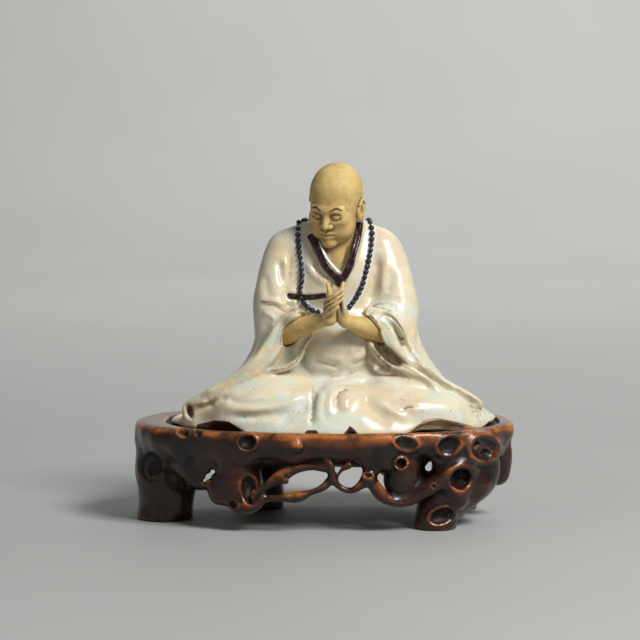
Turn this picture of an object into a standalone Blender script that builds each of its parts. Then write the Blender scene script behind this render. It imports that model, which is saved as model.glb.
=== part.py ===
"""A glazed stoneware monk, seated with pressed hands, on a stand carved from root wood.

Both pieces are free forms, so each is modelled as clay is. A block of voxels holds the distance to the
surface, and simple limbs and bulbs are blended into it or cut from it. OpenVDB, which comes with Blender,
turns the block into a mesh. Fold lines, knots and seams are then pressed into that mesh as they are seen
from one eye, and modifiers make it light and cut it flat where it seats.

The figure is drawn in units of which 193 make its height, and the stand in units of which 276, 166 and 73
make its width, depth and height. In both, X runs to the right, Y away from the front and Z up.
"""

import math

import bmesh
import bpy
import numpy as np
import openvdb
from mathutils import Matrix
from mathutils.bvhtree import BVHTree

# Driving sizes, in metres
FIGURE_HEIGHT = 0.193
STAND_HEIGHT = 0.073
RECESS_DEPTH = 0.003
RECESS_CLEARANCE = 0.0015
SEAT_GAP = 0.0003
RIM_LEFT = 0.0215
RIM_RIGHT = 0.0095
RIM_FRONT = 0.0035
RIM_BACK = 0.0075

# The figure's own units, and the outline of its underside in them
FIGURE_UNITS = 193.0
BASE_CENTRE = (-4.0, -2.0)
BASE_HALF = (121.0, 76.0)
OUTLINE_POWER = 2.3

# The stand's own units, half its width, half its depth and its height
STAND_UNITS = (138.0, 83.0, 73.0)

# How finely each clay is worked, and how many triangles are kept
FIGURE_VOXEL = 1.5
STAND_VOXEL = 1.5
FIGURE_TRIANGLES = 3500
STAND_TRIANGLES = 3000

# Distance, in voxel units, beyond which the clay is plain air, and the slack round each form
AIR = 30.0
SLACK = 6.0

UPRIGHT = np.eye(3)


def smooth_min(a, b, blend):
    """The nearer of two distances, with a fillet of about this size where they meet."""
    if blend <= 0:
        return np.minimum(a, b)
    near = np.maximum(blend - np.abs(a - b), 0) / blend
    return np.minimum(a, b) - near * near * blend * 0.25


def turned(x=0.0, y=0.0, z=0.0):
    """The matrix of turns about X, then Y, then Z, in degrees."""
    x, y, z = (math.radians(a) for a in (x, y, z))
    about_x = np.array([[1, 0, 0], [0, math.cos(x), -math.sin(x)], [0, math.sin(x), math.cos(x)]])
    about_y = np.array([[math.cos(y), 0, math.sin(y)], [0, 1, 0], [-math.sin(y), 0, math.cos(y)]])
    about_z = np.array([[math.cos(z), -math.sin(z), 0], [math.sin(z), math.cos(z), 0], [0, 0, 1]])
    return about_z @ about_y @ about_x


def eased(places, values, at):
    """A smooth curve through the values at the places, read anywhere along it."""
    places = np.asarray(places, np.float64)
    values = np.asarray(values, np.float64)
    slopes = np.gradient(values, places)
    i = np.clip(np.searchsorted(places, at) - 1, 0, len(places) - 2)
    span = places[i + 1] - places[i]
    t = np.clip((at - places[i]) / span, 0, 1)
    t2, t3 = t * t, t * t * t
    return (
        (2 * t3 - 3 * t2 + 1) * values[i]
        + (t3 - 2 * t2 + t) * span * slopes[i]
        + (3 * t2 - 2 * t3) * values[i + 1]
        + (t3 - t2) * span * slopes[i + 1]
    )


def route(points, steps=5):
    """A smooth route through a few points. Numbers after the coordinates, such as a radius, follow."""
    points = np.array(points, np.float64)
    if len(points) == 2:
        return points
    across = min(points.shape[1], 3)
    along = np.concatenate([[0], np.cumsum(np.linalg.norm(np.diff(points[:, :across], axis=0), axis=1))])
    at = np.concatenate(
        [np.linspace(a, b, steps, endpoint=False) for a, b in zip(along, along[1:])] + [along[-1:]]
    )
    return np.stack([eased(along, points[:, i], at) for i in range(points.shape[1])], axis=1)


class Form:
    """A shape to blend into clay: its distance, and the box outside which it adds nothing."""

    def __init__(self, distance, low, high):
        self.distance = distance
        self.low = np.array(low, np.float64)
        self.high = np.array(high, np.float64)


def bulb(centre, radii, axes=UPRIGHT):
    """An ellipsoid whose own axes are the columns of a matrix."""
    centre = np.array(centre, np.float64)
    radii = np.array(radii, np.float64)

    def distance(x, y, z):
        p = [a[0] * (x - centre[0]) + a[1] * (y - centre[1]) + a[2] * (z - centre[2]) for a in axes.T]
        near = np.sqrt(sum((q / r) ** 2 for q, r in zip(p, radii)))
        slope = np.sqrt(sum((q / (r * r)) ** 2 for q, r in zip(p, radii)))
        return near * (near - 1) / np.maximum(slope, 1e-6)

    reach = np.sqrt(((axes.T * radii[:, None]) ** 2).sum(axis=0)) + SLACK
    return Form(distance, centre - reach, centre + reach)


def limb(points):
    """A round bar along a smooth route, with its radius as each point's fourth number."""
    path = route(points)
    centre, radius = path[:, :3], path[:, 3]

    def distance(x, y, z):
        found = np.full(np.broadcast_shapes(x.shape, y.shape, z.shape), AIR, np.float32)
        for a, b, ra, rb in zip(centre, centre[1:], radius, radius[1:]):
            d = b - a
            t = sum((q - o) * e for q, o, e in zip((x, y, z), a, d)) / max((d * d).sum(), 1e-9)
            t = np.clip(t, 0, 1)
            off = sum((q - o - t * e) ** 2 for q, o, e in zip((x, y, z), a, d))
            np.minimum(found, np.sqrt(off) - (ra + t * (rb - ra)), out=found)
        return found

    reach = path[:, 3:4] + SLACK
    return Form(distance, (centre - reach).min(axis=0), (centre + reach).max(axis=0))


def shell_of_outlines(sections, power):
    """A solid through level outlines, each its height and its reach left, right, front and back."""
    sections = np.array(sections, np.float64)
    heights = sections[:, 0]

    def distance(x, y, z):
        level = np.clip(z, heights[0], heights[-1])
        left, right, front, back = (eased(heights, sections[:, i], level) for i in range(1, 5))
        a = np.where(x < 0, left, right)
        b = np.where(y < 0, front, back)
        near = ((np.abs(x) / a) ** power + (np.abs(y) / b) ** power) ** (1 / power)
        side = (near - 1) * np.minimum(a, b)
        return np.maximum(side, np.maximum(z - heights[-1], heights[0] - z))

    reach = sections[:, 1:].max(axis=0)
    low = (-reach[0] - SLACK, -reach[2] - SLACK, heights[0] - SLACK)
    high = (reach[1] + SLACK, reach[3] + SLACK, heights[-1] + SLACK)
    return Form(distance, low, high)


class Pose:
    """A place and a turn in which forms are drawn upright, as for a bowed head."""

    def __init__(self, centre, axes):
        self.centre = np.array(centre, np.float64)
        self.axes = axes

    def bulb(self, centre, radii, axes=UPRIGHT):
        return bulb(self.centre + self.axes @ np.array(centre), radii, self.axes @ axes)

    def limb(self, points):
        return limb([(*(self.centre + self.axes @ np.array(p[:3])), p[3]) for p in points])


class Clay:
    """A block of voxels that holds the distance to the surface of a form, negative inside it."""

    def __init__(self, low, high, voxel):
        self.voxel = voxel
        self.low = np.array(low, np.float64)
        self.count = np.ceil((np.array(high) - self.low) / voxel).astype(int) + 1
        self.distance = np.full(self.count, AIR, np.float32)

    def window(self, form, blend):
        """The voxels that a form may change, as slices, and their coordinates."""
        first = np.floor((form.low - blend - self.low) / self.voxel).astype(int)
        last = np.ceil((form.high + blend - self.low) / self.voxel).astype(int) + 1
        first = np.clip(first, 0, self.count)
        last = np.clip(last, first, self.count)
        axes = [
            (self.low[i] + self.voxel * np.arange(first[i], last[i])).astype(np.float32) for i in range(3)
        ]
        slices = tuple(slice(a, b) for a, b in zip(first, last))
        return slices, np.meshgrid(*axes, indexing="ij", sparse=True)

    def add(self, form, blend=0.0):
        slices, at = self.window(form, blend)
        self.distance[slices] = smooth_min(self.distance[slices], form.distance(*at), blend)

    def cut(self, form, blend=0.0):
        slices, at = self.window(form, blend)
        self.distance[slices] = -smooth_min(-self.distance[slices], form.distance(*at), blend)

    def mesh(self, name):
        """The surface of the clay, as a mesh of quads."""
        grid = openvdb.FloatGrid(AIR)
        grid.copyFromArray(self.distance)
        points, _, quads = grid.convertToPolygons(0.0, 0.0)
        corners = np.asarray(quads, np.int32).ravel()
        mesh = bpy.data.meshes.new(name)
        mesh.vertices.add(len(points))
        mesh.vertices.foreach_set("co", (points * self.voxel + self.low).astype(np.float32).ravel())
        mesh.loops.add(len(corners))
        mesh.loops.foreach_set("vertex_index", corners)
        mesh.polygons.add(len(quads))
        mesh.polygons.foreach_set("loop_start", np.arange(0, len(corners), 4, dtype=np.int32))
        mesh.update(calc_edges=True)
        return mesh


class Relief:
    """Lines and hollows pressed into a mesh, laid out on the upright plane y = 0 as one eye sees it."""

    def __init__(self, mesh, eye):
        self.mesh = mesh
        count = len(mesh.vertices)
        self.place = np.empty(count * 3, np.float32)
        mesh.vertices.foreach_get("co", self.place)
        self.place = self.place.reshape(-1, 3)
        self.normal = np.empty(count * 3, np.float32)
        mesh.vertex_normals.foreach_get("vector", self.normal)
        self.normal = self.normal.reshape(-1, 3)
        eye = np.array(eye, np.float32)
        to_eye = eye - self.place
        share = eye[1] / (eye[1] - self.place[:, 1])
        self.seen = eye[[0, 2]] + (self.place[:, [0, 2]] - eye[[0, 2]]) * share[:, None]
        facing = (self.normal * to_eye).sum(axis=1) / np.linalg.norm(to_eye, axis=1)
        self.facing = np.clip(facing * 3.0, 0, 1)
        self.rise = np.zeros(count, np.float32)

    def spare(self, centre, radii):
        """Leaves alone what lies inside an ellipsoid, such as a head in front of a collar."""
        inside = (((self.place - np.array(centre)) / np.array(radii)) ** 2).sum(axis=1)
        self.facing *= np.clip((inside - 1.0) * 4.0, 0, 1)

    def nearest(self, points, reach):
        """Points near a line: which, how far off, on which side, how far along and how wide there."""
        path = route(points)
        low, high = path[:, :2].min(axis=0) - reach, path[:, :2].max(axis=0) + reach
        inside = np.all((self.seen > low) & (self.seen < high), axis=1) & (self.facing > 0)
        index = np.nonzero(inside)[0]
        at = self.seen[index]
        off = np.full(len(index), 1e9)
        side = np.zeros(len(index))
        along = np.zeros(len(index))
        width = np.zeros(len(index))
        steps = len(path) - 1
        for i, (a, b) in enumerate(zip(path, path[1:])):
            d = b[:2] - a[:2]
            rel = at - a[:2]
            t = np.clip(rel @ d / max(d @ d, 1e-9), 0, 1)
            gap = np.linalg.norm(rel - t[:, None] * d, axis=1)
            closer = gap < off
            off[closer] = gap[closer]
            side[closer] = np.sign(d[0] * rel[closer, 1] - d[1] * rel[closer, 0])
            along[closer] = (i + t[closer]) / steps
            width[closer] = a[2] + t[closer] * (b[2] - a[2])
        return index, off, side, along, width

    def line(self, points, height, taper=0.2):
        """A rounded ridge, or with a negative height a groove. Each point's third number is its width."""
        reach = 3.0 * max(p[2] for p in points)
        index, off, _, along, width = self.nearest(points, reach)
        ends = np.clip(np.minimum(along, 1 - along) / taper, 0, 1) if taper > 0 else 1.0
        self.rise[index] += height * ends * np.exp(-((off / width) ** 2))

    def pit(self, centre, radii, depth, rim=0.0, lean=0.0):
        """An oval hollow, leaning by some degrees, with a rounded rim if asked."""
        c, s = math.cos(math.radians(lean)), math.sin(math.radians(lean))
        rel = self.seen - np.array(centre)
        across = (rel[:, 0] * c + rel[:, 1] * s) / radii[0]
        up = (rel[:, 1] * c - rel[:, 0] * s) / radii[1]
        off = np.hypot(across, up)
        self.rise -= np.where(off < 1, depth * np.clip(1 - off**3, 0, 1), 0)
        if rim:
            self.rise += rim * np.exp(-(((off - 1.15) / 0.22) ** 2))

    def press(self):
        moved = self.place + self.normal * (self.rise * self.facing)[:, None]
        self.mesh.vertices.foreach_set("co", moved.ravel())
        self.mesh.update()


# The figure

FIGURE_FRONT_EYE = (-13.3, -1992.0, 250.0)
FIGURE_BACK_EYE = (0.0, 1300.0, 200.0)


def seen(*points, eye=FIGURE_FRONT_EYE):
    """Points in front as they show: across and up on the upright plane, then depth and radius."""
    eye = np.array(eye)
    found = []
    for u, w, y, radius in points:
        flat = np.array((u, 0.0, w))
        found.append((*(flat + (eye - flat) * (y / eye[1])), radius))
    return found


def robed_body(clay):
    """The seated body under its robe: height, then the reach left, right, front and back."""
    clay.add(
        shell_of_outlines(
            [
                (-12, 119, 117, 76, 72),
                (0, 118, 116, 76, 72),
                (4, 115, 115, 73, 70),
                (9, 109, 110, 67, 67),
                (18, 97, 96, 57, 62),
                (25, 88, 89, 50, 59),
                (33, 79, 79, 43, 56),
                (40, 73, 73, 38, 54),
                (52, 65, 65, 33, 50),
                (70, 60, 58, 29.5, 47),
                (98, 56, 52, 26, 43),
                (117, 53.5, 49, 24, 38),
                (125, 51.5, 46, 22, 35),
                (135, 45.5, 39, 19, 31),
                (142, 38, 32, 16, 26),
                (148, 27, 23, 12, 20),
            ],
            2.1,
        )
    )


def trunk(clay):
    clay.add(bulb((0, -6, 107), (32, 22, 36)), 6)
    clay.add(bulb((1, -16, 60), (31, 27, 27)), 8)
    clay.add(limb([(-11, -2, 138, 12), (0, -3, 140, 13), (11, -2, 138, 12)]), 8)


def crossed_legs(clay):
    clay.add(limb([(-24, -4, 21, 21), (-74, -34, 12, 17)]), 14)
    clay.add(limb([(24, -4, 21, 21), (74, -34, 12, 17)]), 14)
    clay.add(limb([(-72, -42, 5, 15), (-20, -57, 5, 14), (10, -57, 4, 13)]), 12)
    clay.add(limb([(72, -42, 5, 15), (25, -57, 5, 14), (-5, -57, 4, 13)]), 12)
    clay.add(bulb((-50, -46, 20), (33, 17, 10), turned(y=-7)), 8)
    clay.add(bulb((52, -46, 16), (34, 18, 12)), 10)
    clay.add(bulb((-3, -48, 17), (21, 19, 14)), 8)
    clay.add(bulb((2, -40, 20), (40, 21, 14)), 12)
    clay.add(bulb((-47, -38, 30), (25, 12, 10), turned(y=-7)), 8)
    clay.add(limb([(34, -41, 30, 8), (50, -40, 29.5, 8.5), (68, -37, 22, 8)]), 8)


def upper_arms(clay):
    left = [(-37, -4, 127, 13.6), (-43.8, -11, 106, 14.8), (-46.4, -16, 84, 15.8), (-44, -20, 69, 15)]
    clay.add(limb(left), 7)
    clay.add(limb([(31, -4, 128, 14), (39, -11, 105, 14.5), (42.5, -16, 83, 16), (40, -20, 71, 15)]), 7)


def sleeves(clay):
    """The cuffs, and the long drops of cloth that hang from the forearms to the corners of the lap."""
    clay.add(limb([(-44, -19, 71, 15), (-37, -30, 76, 9.5), (-28, -38.5, 81, 6)]), 6)
    clay.add(limb([(39, -20, 73, 15), (32, -34, 78, 11), (24, -42, 81.5, 7.5)]), 6)
    left = [
        (-45, -27, 65, 12), (-52, -31, 49, 12), (-64, -33, 34, 12), (-82, -32, 20, 10), (-102, -28, 8, 7),
    ]
    right = [(42, -27, 67, 12), (47, -31, 52, 12), (59, -34, 38, 12), (76, -33, 24, 10), (99, -28, 8, 7)]
    clay.add(limb(left), 8)
    clay.add(limb(right), 8)


def sleeve_edges(clay):
    """The rolled edge of each sleeve's mouth, from over the wrist to the lap, and the lip inside it."""
    left = seen(
        (-25.5, 81.4, -43, 1.9), (-31, 80.2, -44, 2.0), (-36.3, 77.4, -44, 2.4), (-41.3, 72.7, -43, 3.3),
        (-44.6, 65.5, -42, 4.3), (-48, 57.8, -41, 4.8), (-53, 49, -41, 5.1), (-61, 40.5, -41, 5.0),
        (-70, 34, -40, 4.6), (-81, 28, -38, 4.2), (-92, 21.5, -36, 4.0), (-101, 17.2, -33, 4.2),
        (-108.6, 13.4, -30, 3.8),
    )
    clay.add(limb(left), 3.5)
    right = seen(
        (20, 80.5, -43, 3.0), (28, 77.5, -44, 3.6), (32.5, 72, -44, 4.0), (37, 64.5, -44, 4.4),
        (42, 56.5, -43.5, 4.6), (48, 49, -43, 4.6), (55, 42, -43, 4.4), (66, 34, -42, 4.2),
        (79, 26, -40, 4.2), (90, 20, -37, 4.0), (103, 13, -33, 4.0),
    )
    clay.add(limb(right), 3.5)
    clay.add(limb(seen((33, 80, -42, 3.5), (40, 76, -43, 5.0), (45.5, 67, -42, 4.5), (47, 62, -41, 3))), 2)
    clay.add(limb(seen(
        (-19, 66, -40, 1.6), (-25, 56, -42, 1.9), (-29, 47, -43, 2.1), (-38.5, 40.5, -44, 2.1),
        (-51, 38, -44, 1.8),
    )), 2)
    lip = seen(
        (23, 60, -40, 1.8), (27, 52.5, -43, 2.0), (31, 47.7, -44, 2.2), (35.7, 44, -45, 2.3),
        (42, 42, -45.5, 2.3), (54, 36.7, -46, 2.2), (64, 32.8, -45.5, 2.1), (71.2, 25.6, -45, 2.0),
        (79.8, 18.8, -44, 1.6),
    )
    clay.add(limb(lip), 2)


def sleeve_hollows(clay):
    """The shade inside the sleeves, under the forearms, deepest on the right."""
    clay.cut(limb(seen(
        (-36, 60, -41, 3.4), (-38, 53, -46, 3.8), (-43.5, 45.5, -49, 3.0), (-52, 40, -50, 1.4),
    )), 3)
    clay.cut(limb(seen(
        (27, 58, -36, 3.6), (33, 54.5, -41, 4.8), (39, 48, -44, 4.6), (49, 42, -47.5, 2.4),
    )), 1.5)


def collar(clay):
    """The roll of cloth round the neck, and two bands crossed on the chest over the skin."""
    path = [
        (-15, -16, 129.5, 2.4), (-17, -8, 137, 2.8), (-12, 3, 144, 3.0), (0, 7, 146, 3.0),
        (11, 3, 146, 3.0),
    ]
    clay.add(limb(path + [(15, -8, 142, 2.8), (13, -17, 133.5, 2.4)]), 2)
    clay.cut(bulb((1, -30, 128), (9, 9, 17), turned(x=-12)), 2)
    left = seen(
        (-17.5, 134, -22, 3.4), (-13.3, 125, -26, 3.2), (-8.6, 116, -28, 3.1), (-1.8, 108.5, -29, 3.0),
        (2.6, 104, -29, 2.6),
    )
    clay.add(limb(left), 2)
    right = seen(
        (15.8, 146, -14, 3.0), (14, 134.5, -22, 3.3), (11, 124, -27, 3.4), (8, 115.5, -29.5, 3.4),
        (3, 106, -31, 3.2), (-4, 98, -31, 2.6),
    )
    clay.add(limb(right), 2)


def neck(clay):
    clay.add(limb([(0, -12, 116, 12), (0, -10, 137, 13), (-1, -13, 151, 12.5)]), 3)


def head(clay):
    """A bald head with calm, lowered eyes, bowed and turned a little to the left."""
    pose = Pose((-2.2, -20, 162), turned(z=-20) @ turned(y=4) @ turned(x=20))
    clay.add(pose.bulb((0, 4, 8), (19, 23, 21.5)), 2)
    clay.add(pose.bulb((0, -4, -8), (15.5, 17, 20)), 6)
    for side in (-1, 1):
        clay.add(pose.bulb((side * 9, -14.5, -5), (6, 5.5, 6)), 4)
        clay.add(pose.bulb((side * 8, -11, -15), (7, 7, 7)), 5)
    clay.add(pose.limb([(-10, -16.5, 2.5, 2.2), (0, -18.8, 2.5, 2.6), (10, -16.5, 2.5, 2.2)]), 4)
    for side in (-1, 1):
        clay.cut(pose.bulb((side * 7, -21.5, -2), (4.6, 3.4, 2.8)), 2.5)
        clay.add(pose.bulb((side * 7, -16.6, -2.2), (3.9, 3.2, 2.7)), 0.8)
        clay.cut(pose.limb([
            (side * 3.6, -19.6, -2.9, 0.5), (side * 7, -20.4, -3.6, 0.5), (side * 10.4, -18.6, -2.7, 0.5),
        ]), 0.4)
    clay.add(pose.limb([(0, -18.5, 1, 2.0), (0, -22.6, -8, 2.9)]), 2)
    for side in (-1, 1):
        clay.add(pose.bulb((side * 3, -20.6, -8.8), (2.2, 2.6, 2.0)), 1.2)
    clay.add(pose.limb([(-5, -18.8, -14.6, 1.2), (0, -20.8, -14.0, 1.6), (5, -18.8, -14.6, 1.2)]), 1.6)
    clay.add(pose.limb([(-4, -18.6, -17.0, 1.2), (0, -20.0, -17.2, 1.8), (4, -18.6, -17.0, 1.2)]), 1.6)
    clay.cut(pose.limb([(-5.6, -19.8, -15.6, 0.5), (0, -22.0, -15.7, 0.5), (5.6, -19.8, -15.6, 0.5)]), 0.4)
    clay.add(pose.bulb((0, -17, -23), (5.5, 4.5, 4)), 4)
    for side in (-1, 1):
        clay.add(pose.bulb((side * 18.3, 2.5, -4), (2.2, 4.8, 8.5), turned(z=side * -14)), 1.5)
        clay.cut(pose.bulb((side * 20.4, 1.2, -2.5), (1.5, 2.6, 4.6)), 1.0)


def forearms(clay):
    clay.add(limb([
        (-44, -27, 68.5, 10.0), (-38.2, -32, 70.3, 9.6), (-27.8, -41.5, 74.9, 7.4),
        (-15, -50.5, 79.3, 5.3), (-6.5, -57, 82, 4.9),
    ]), 1)
    clay.add(limb([
        (37, -28, 69, 8.6), (29.2, -35, 71.7, 8.6), (22.8, -41, 73.8, 8.1), (16.9, -46, 75.4, 7.2),
        (11.1, -51, 77.7, 5.6), (4.4, -57, 80.4, 4.4),
    ]), 1)


def hands(clay):
    """Two hands pressed together, three fingers of each folded across the other, two raised."""
    clay.add(limb([(-6.5, -57, 82, 5.0), (-5.6, -58.5, 89, 5.4), (-4.6, -60, 96, 4.6)]), 2)
    clay.add(limb([(4.4, -57, 80.4, 4.6), (1.8, -58, 88, 4.3), (1.0, -59, 96, 3.8)]), 2)
    for k in range(3):
        drop = 3.5 * k
        clay.add(limb([
            (-8.6, -62.5, 95 - drop, 2.2), (-3.6, -65.5, 98.6 - drop, 2.1), (1.6, -65, 102.4 - drop, 1.7),
        ]), 0.8)
    clay.add(limb([(-5.6, -60, 97, 2.4), (-6.7, -60, 102, 2.1), (-7.8, -59.5, 106.7, 1.6)]), 1.5)
    clay.add(limb([(2.0, -60.5, 99, 2.3), (2.4, -60.6, 103.5, 2.0), (3.2, -60, 107.2, 1.6)]), 1.5)


def hem(clay):
    """The edge of the robe on the stand: a curled corner, a flared one, and where it lifts or is chipped."""
    clay.add(limb([(-110, -16, 0, 6), (-118.5, -2, -1, 5.5), (-115, 14, -1, 6)]), 4)
    clay.add(limb([(-110, -26, 4, 5), (-106, -27, 9, 5.5), (-98, -27, 14, 5)]), 4)
    clay.add(limb(seen(
        (-107, 14.6, -28, 2.0), (-111.6, 12.6, -29, 2.4), (-112.8, 7.5, -29, 2.5), (-110.4, 2, -29, 2.8),
        (-108, -2, -29, 3.0),
    )), 1.5)
    clay.cut(bulb((-107.8, -35, 12.2), (2.4, 10, 5.8), turned(y=-12)), 0.8)
    clay.add(bulb((103, -16, 5), (12.5, 16, 4.6)), 4)
    clay.cut(bulb((112.4, -20, -1.2), (9.4, 26, 5.0), turned(y=-40)), 0.6)
    # the broken edge at the left, and the lifted one at the right with the shade under it
    clay.cut(limb([
        (-99, -49, -3, 5), (-92, -55, -1, 8), (-84, -59, -1, 8.6), (-76, -63, -2, 7), (-68, -67, -4, 5),
    ]), 0.8)
    clay.cut(limb([
        (53, -71, -3, 5.5), (62, -67.5, -1, 8.5), (70, -65.5, 0, 9.5), (80, -61.5, -1, 9.2),
        (92, -55, -2.5, 8.5), (102, -46, -4, 7),
    ]), 0.8)
    clay.cut(bulb((76, -62, -0.5), (26, 12, 2.8)), 0.4)
    clay.cut(bulb((-18, -80, 0), (6, 6, 1.8)), 0.4)
    clay.cut(bulb((9, -80, 0), (5, 6, 4.2)), 0.4)


def figure_clay(voxel):
    clay = Clay((-130, -86, -13), (126, 82, 204), voxel)
    robed_body(clay)
    trunk(clay)
    crossed_legs(clay)
    upper_arms(clay)
    sleeves(clay)
    sleeve_edges(clay)
    sleeve_hollows(clay)
    hem(clay)
    collar(clay)
    neck(clay)
    forearms(clay)
    hands(clay)
    head(clay)
    return clay


# The run of the sleeves' edges and of the belly's outline, across and up as they show from in front
SLEEVE_LEFT_OUTER = [
    (-25.9, 82.8), (-33.2, 80.2), (-39.5, 77.5), (-44.8, 73.4), (-50.1, 64.9), (-55.3, 56.5), (-59.6, 49.1),
    (-66.9, 41.4), (-80.6, 31.4), (-91.2, 24.8), (-101.7, 19),
]
SLEEVE_LEFT_BAND = [
    (-34, 78.2), (-41, 72.6), (-45, 65.6), (-48, 57), (-53, 48.8), (-61.5, 40), (-70.5, 34), (-82, 28),
    (-94, 21),
]
SLEEVE_LEFT_INNER = [
    (-25, 80), (-30, 79.2), (-35, 76.3), (-38.5, 71.3), (-40.3, 63.9), (-42, 57), (-46.5, 49.1),
    (-55.4, 39.9), (-66.9, 33.2), (-81.5, 26), (-91, 18.4), (-99, 14.8), (-106, 13.2),
]
SLEEVE_LEFT_FAR = [(-19.6, 65.0), (-25.9, 55.4), (-29, 47.5), (-38.5, 40.4), (-51.2, 38.0)]
SLEEVE_RIGHT_OUTER = [
    (44, 76), (47.6, 67.0), (52.6, 56.5), (58, 46.2), (64.5, 39.6), (80.9, 28.2), (95.6, 20.5), (108, 13),
]
SLEEVE_RIGHT_EDGE = [
    (30, 76.5), (35.8, 72.5), (40.8, 64.9), (46.1, 57.5), (52.4, 50.1), (58.5, 43.4), (66.1, 36.8),
    (77, 28.6), (90, 21.4), (102, 15),
]
SLEEVE_RIGHT_INNER = [
    (25.5, 79), (28.2, 74.5), (31.2, 67.5), (35.6, 57.9), (40.8, 49.6), (48, 43.0), (58, 37.6),
    (70, 29.6), (82, 21.4), (94, 14.6),
]
SLEEVE_RIGHT_FAR = [
    (24, 58.5), (27.5, 52), (31, 47.7), (35.7, 44), (42, 42), (54, 36.7), (64, 32.8), (71.2, 25.6),
    (79.8, 18.8),
]
BELLY = [
    (-21, 62), (-26.8, 52.2), (-26.8, 43.8), (-19.7, 37.6), (-6.3, 35.6), (7.1, 36.6), (18.8, 41.8),
    (24.5, 48.5), (24, 58),
]

# The head and the hands, which the folds behind them leave alone: centre and radii
SPARED = (((-2, -27, 150), (20, 30, 21)), ((-1, -62, 91), (13, 12, 22)))


def wide(points, *widths):
    """A line's points, each with a width eased from the few given along it."""
    width = np.interp(np.linspace(0, 1, len(points)), np.linspace(0, 1, len(widths)), widths)
    return [(u, w, float(size)) for (u, w), size in zip(points, width)]


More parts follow.
